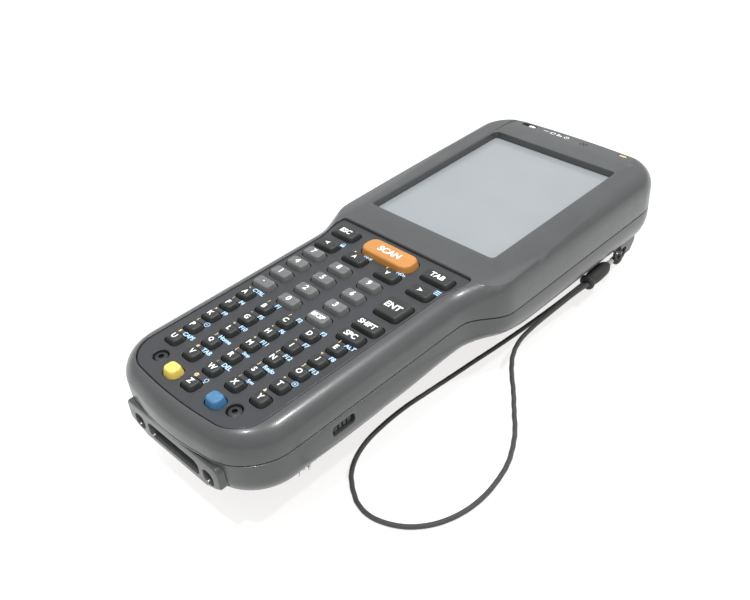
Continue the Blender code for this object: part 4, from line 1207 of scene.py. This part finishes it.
def band_mesh(route, half_width, thick, edge, columns=24, quilt=None):
    """A strap along (y, z) points: rounded edges, and quilt(u, v) adds to its thickness in millimetres."""
    path = smooth_path([(0.0, y, z) for y, z in route], 1.0)
    build = bmesh.new()
    rings = []
    travelled = 0.0
    for i, point in enumerate(path):
        ahead, behind = path[min(i + 1, len(path) - 1)], path[max(i - 1, 0)]
        tangent = (ahead - behind).normalized()
        normal = Vector((0.0, -tangent.z, tangent.y))
        travelled += (point - behind).length if i else 0.0
        end = min(1.0, 0.35 + min(i, len(path) - 1 - i) * 0.35)
        ring = []
        for top in (1, -1):
            for k in range(columns + 1):
                t = k / columns if top > 0 else 1 - k / columns
                u = -math.cos(math.pi * t) * half_width
                rim = min(1.0, (half_width - abs(u)) / edge)
                fat = thick / 2 * math.sqrt(max(0.0, 1 - (1 - rim) ** 2)) * end
                fat += (quilt(u, travelled) if quilt else 0.0) * rim
                if k in (0, columns):
                    fat = 0.02
                ring.append(point + Vector((u, 0, 0)) + normal * top * max(0.02, fat))
        for point in ring:
            point.z = max(point.z, STRAP_CLEAR)
        rings.append(ring)
    loft_into(build, rings)
    return finished(build), travelled, path


def stitches(path, x, lift, span):
    """A row of thread stitches on a strap's face, each a short bowed tube; lift's sign picks the face."""
    made = []
    for i in range(span[0], span[1] - 2, 2):
        a, b = path[i], path[i + 1]
        tangent = (b - a).normalized()
        normal = Vector((0.0, -tangent.z, tangent.y)) * (-1 if lift < 0 else 1)
        points = []
        for share, rise in ((0.0, -0.15), (0.3, 0.12), (0.8, 0.12), (1.2, 0.12), (1.5, -0.15)):
            points.append(a.lerp(b, share) + Vector((x, 0, 0)) + normal * (abs(lift) + rise))
        made.append(tube(points, 0.16, 6))
    return made


def strap():
    """The hand strap's padded band, and its webbing tail over the lower pin. Gives the tail's path."""
    pad = [(-60.0, 1.4), (-52.0, 1.2), (-40.0, 1.2), (-30.0, 1.4), (-21.0, 2.4), (-12.0, 3.9)]
    pad += [(-2.0, 5.8), (8.0, 7.4), (17.0, 8.3)]
    pad += arc(UPPER_PIN, 2.7, 90, -90, 8) + [(19.0, 2.9), (15.0, 3.8), (12.0, 4.6)]
    quilt = lambda u, v: 0.1 * math.cos(u * math.pi / 6.0) - (0.25 if abs(abs(u) - SEAM_X) < 0.5 else 0.0)
    mesh, _, path = band_mesh(pad, STRAP_HALF, 2.2, 1.6, 32, quilt)
    band = piece("hand_strap_pad", mesh, WEBBING, stands_for=["hand_strap"], sharp=70)
    threads = []
    for lift in (-0.95, 0.95):
        for x in (-SEAM_X, SEAM_X):
            threads += stitches(path, x, lift, (3, len(path) - 26))

    tail = [(-38.0, 3.3), (-48.0, 3.3), (-58.0, 3.6), (-65.0, 5.0), (-71.0, 7.6), (-76.0, 11.0)]
    tail += arc(LOWER_PIN, 2.1, 75, 265, 10)
    tail += [(-76.5, 8.4), (-71.5, 5.4), (-67.0, 3.0), (-63.0, 1.4)]
    mesh, length, path = band_mesh(tail, STRAP_HALF, 1.1, 0.6, 24)
    sheet = piece("strap_tail_webbing", mesh, LOOP_PILE, stands_for=["strap_tail"], sharp=70)
    piece("strap_stitches", joined(threads), CORD, sharp=70)
    return path


def fuzz(path):
    """Frayed hooks and loops standing out along the strap's two edges near the lower pin."""
    chance = random.Random(7)
    fibres = []
    for number in range(420):
        side = 1 if number % 3 else -1
        y = chance.uniform(-75.0, -57.0)
        at = min(path, key=lambda p: abs(p.y - y) + (0.0 if p.z < 6.0 else 4.0) * chance.random())
        x = side * (STRAP_HALF - chance.uniform(-0.1, 1.2))
        start = at + Vector((x, chance.uniform(-0.6, 0.6), chance.uniform(-0.3, 0.4)))
        reach = chance.uniform(0.6, 2.3)
        out = side * chance.uniform(0.3, 1.0)
        drift = Vector((out, chance.uniform(-0.6, 0.6), chance.uniform(-0.5, 0.6))).normalized()
        bend = Vector((0, chance.uniform(-0.7, 0.7), chance.uniform(-0.6, 0.5)))
        points = []
        for i in range(4):
            t = i / 3
            point = start + drift * reach * t + bend * t * t * 0.7
            point.z = max(0.25, point.z)
            points.append(point)
        fibres.append(tube(points, lambda i, angle: 0.13 - 0.03 * i, 4))
    piece("strap_fuzz", joined(fibres), LOOP_PILE, sharp=70)


def pins():
    for node in ("strap_pin_upper", "strap_pin_lower"):
        low, high = cad(node)
        radius, length = (high.z - low.z) / 2, high.x - low.x
        profile = [(0.0, radius - 0.25), (0.25, radius), (length - 0.25, radius), (length, radius - 0.25)]
        mesh = turned(profile, (low.x, (low.y + high.y) / 2, (low.z + high.z) / 2), (1, 0, 0), 28)
        piece(node + "_rod", mesh, STEEL, stands_for=[node])


def case_screws():
    for number in range(1, 5):
        node = f"case_screw_{number}"
        low, high = cad(node)
        at = ((low.x + high.x) / 2, (low.y + high.y) / 2, low.z)
        profile = [(0.0, 1.5), (0.08, 1.75), (0.35, 2.0), (1.6, 2.0), (1.7, 1.0), (7.0, 1.0)]
        head = turned(profile, at, UP, 32)
        cross = [block((at[0] - a, at[1] - b, low.z - 1.0), (at[0] + a, at[1] + b, low.z + 0.9))
                 for a, b in ((1.15, 0.28), (0.28, 1.15))]
        piece(node + "_head", carve(head, cross), DARK_STEEL, stands_for=[node])


def battery():
    """The battery's door: a pull groove, two rest ribs and a printed-label recess left blank."""
    low, high = cad("battery_pack")
    centre, size = ((low.x + high.x) / 2, (low.y + high.y) / 2), (high.x - low.x, high.y - low.y)
    rings = []
    for z, inset in ((0.0, 1.0), (0.1, 0.55), (0.45, 0.15), (1.0, 0.0), (high.z - low.z, 0.0)):
        rings.append(at_height(inset_plate(centre, size, 2.0, inset, 0.5, 8), low.z + z))
    label = prism(rounded(centre, (size[0] - 12, size[1] - 16), 1.5), low.z - 1, low.z + 0.3)
    grooves = []
    for i in range(3):
        outline = rounded((0.0, low.y + 3.6 + 1.6 * i), (18.0, 0.7), 0.3, 3)
        grooves.append(prism(outline, low.z - 1, low.z + 0.45))
    mesh = carve(loft(rings), [label, joined(grooves)])
    piece("battery_pack_case", mesh, SHELL, stands_for=["battery_pack"])


def scan_window():
    low, high = cad("scan_window")
    middle, size = (0.0, (low.z + high.z) / 2), (high.x - low.x, high.z - low.z)
    rings = []
    for y, inset in ((low.y, 0.2), (high.y + 0.9, 0.2), (high.y + 1.15, 0.3), (high.y + 1.2, 0.55)):
        rings.append([(x, y, z) for x, z in inset_plate(middle, size, 1.8, inset)])
    piece("scan_window_pane", loft(rings), RED_WINDOW, stands_for=["scan_window"])


# ---- CAD pieces that stay

KEPT = {
    "cover_seal": RUBBER, "keypad_board": BOARD, "display_gasket": RUBBER, "lcd_module": STEEL,
    "main_board": BOARD, "scan_engine": RUBBER, "speaker": STEEL, "radio_module": STEEL, "backup_cell": STEEL,
    "battery_contacts": GOLD, "dock_connector": RUBBER,
}


def kept_pieces():
    for node, finish in KEPT.items():
        mesh = frame["nodes"][node].data
        mesh.materials.clear()
        mesh.materials.append(finish)


# ---- light and floor


def lamp(name, direction, distance, size, power, colour=(1.0, 1.0, 1.0)):
    """A round area lamp that shines on the device's middle from this direction."""
    data = bpy.data.lights.new(name, "AREA")
    data.shape, data.size, data.energy, data.color = "DISK", size, power, colour
    light = bpy.data.objects.new(name, data)
    bpy.context.scene.collection.objects.link(light)
    direction = Vector(direction).normalized()
    light.location = direction * distance + Vector((0, 0, 0.02))
    light.rotation_euler = direction.to_track_quat("Z", "Y").to_euler()
    return light


SKY_LOW, SKY_HIGH = 0.6, 1.05
FLOOR_GLOW, FLOOR_DROP = 0.79, -0.1


def studio():
    """A pale sky, brighter overhead, three lamps and a sheet of paper lit from behind."""
    world = bpy.data.worlds.new("studio")
    world.use_nodes = True
    background = world.node_tree.nodes["Background"]
    nodes, links = world.node_tree.nodes, world.node_tree.links
    split, height = nodes.new("ShaderNodeSeparateXYZ"), nodes.new("ShaderNodeMapRange")
    links.new(nodes.new("ShaderNodeTexCoord").outputs["Generated"], split.inputs["Vector"])
    links.new(split.outputs["Z"], height.inputs["Value"])
    height.inputs["To Min"].default_value, height.inputs["To Max"].default_value = SKY_LOW, SKY_HIGH
    background.inputs["Color"].default_value = (0.97, 0.99, 1.0, 1.0)
    links.new(height.outputs["Result"], background.inputs["Strength"])
    bpy.context.scene.world = world
    lamp("overhead_left", (0.14, -0.27, 0.95), 1.0, 0.06, 4.0)
    lamp("overhead_right", (0.41, 0.29, 0.86), 1.0, 0.06, 4.0)
    lamp("soft_key", (-0.35, 0.25, 0.9), 1.4, 1.2, 9.0, (0.95, 0.99, 1.0)).visible_glossy = False
    build = bmesh.new()
    bmesh.ops.create_grid(build, x_segments=2, y_segments=2, size=6.0)
    mesh = bpy.data.meshes.new("floor")
    build.to_mesh(mesh)
    build.free()
    floor = bpy.data.objects.new("floor", mesh)
    floor.location.z = FLOOR_DROP * MM
    bpy.context.scene.collection.objects.link(floor)
    made = Finish("floor_paper", 0.9, Emission_Color=(1.0, 0.985, 0.965, 1.0), Emission_Strength=FLOOR_GLOW)
    made.colour(made.ramp(made.noise(900.0, 2.0), [(0.3, (0.25, 0.255, 0.26)), (0.7, (0.26, 0.265, 0.27))]))
    floor.data.materials.append(made.material)
    view = bpy.context.scene.view_settings
    view.view_transform, view.look, view.exposure, view.gamma = "Standard", "None", 0.0, 1.0


make_camera()
lanyard()
front_cover()
rear_cover()
dock()
keypad_panel(hard_keys() + letter_keys())
touch_glass()
top_end_details()
latches()
pins()
fuzz(strap())
case_screws()
battery()
scan_window()
kept_pieces()
studio()
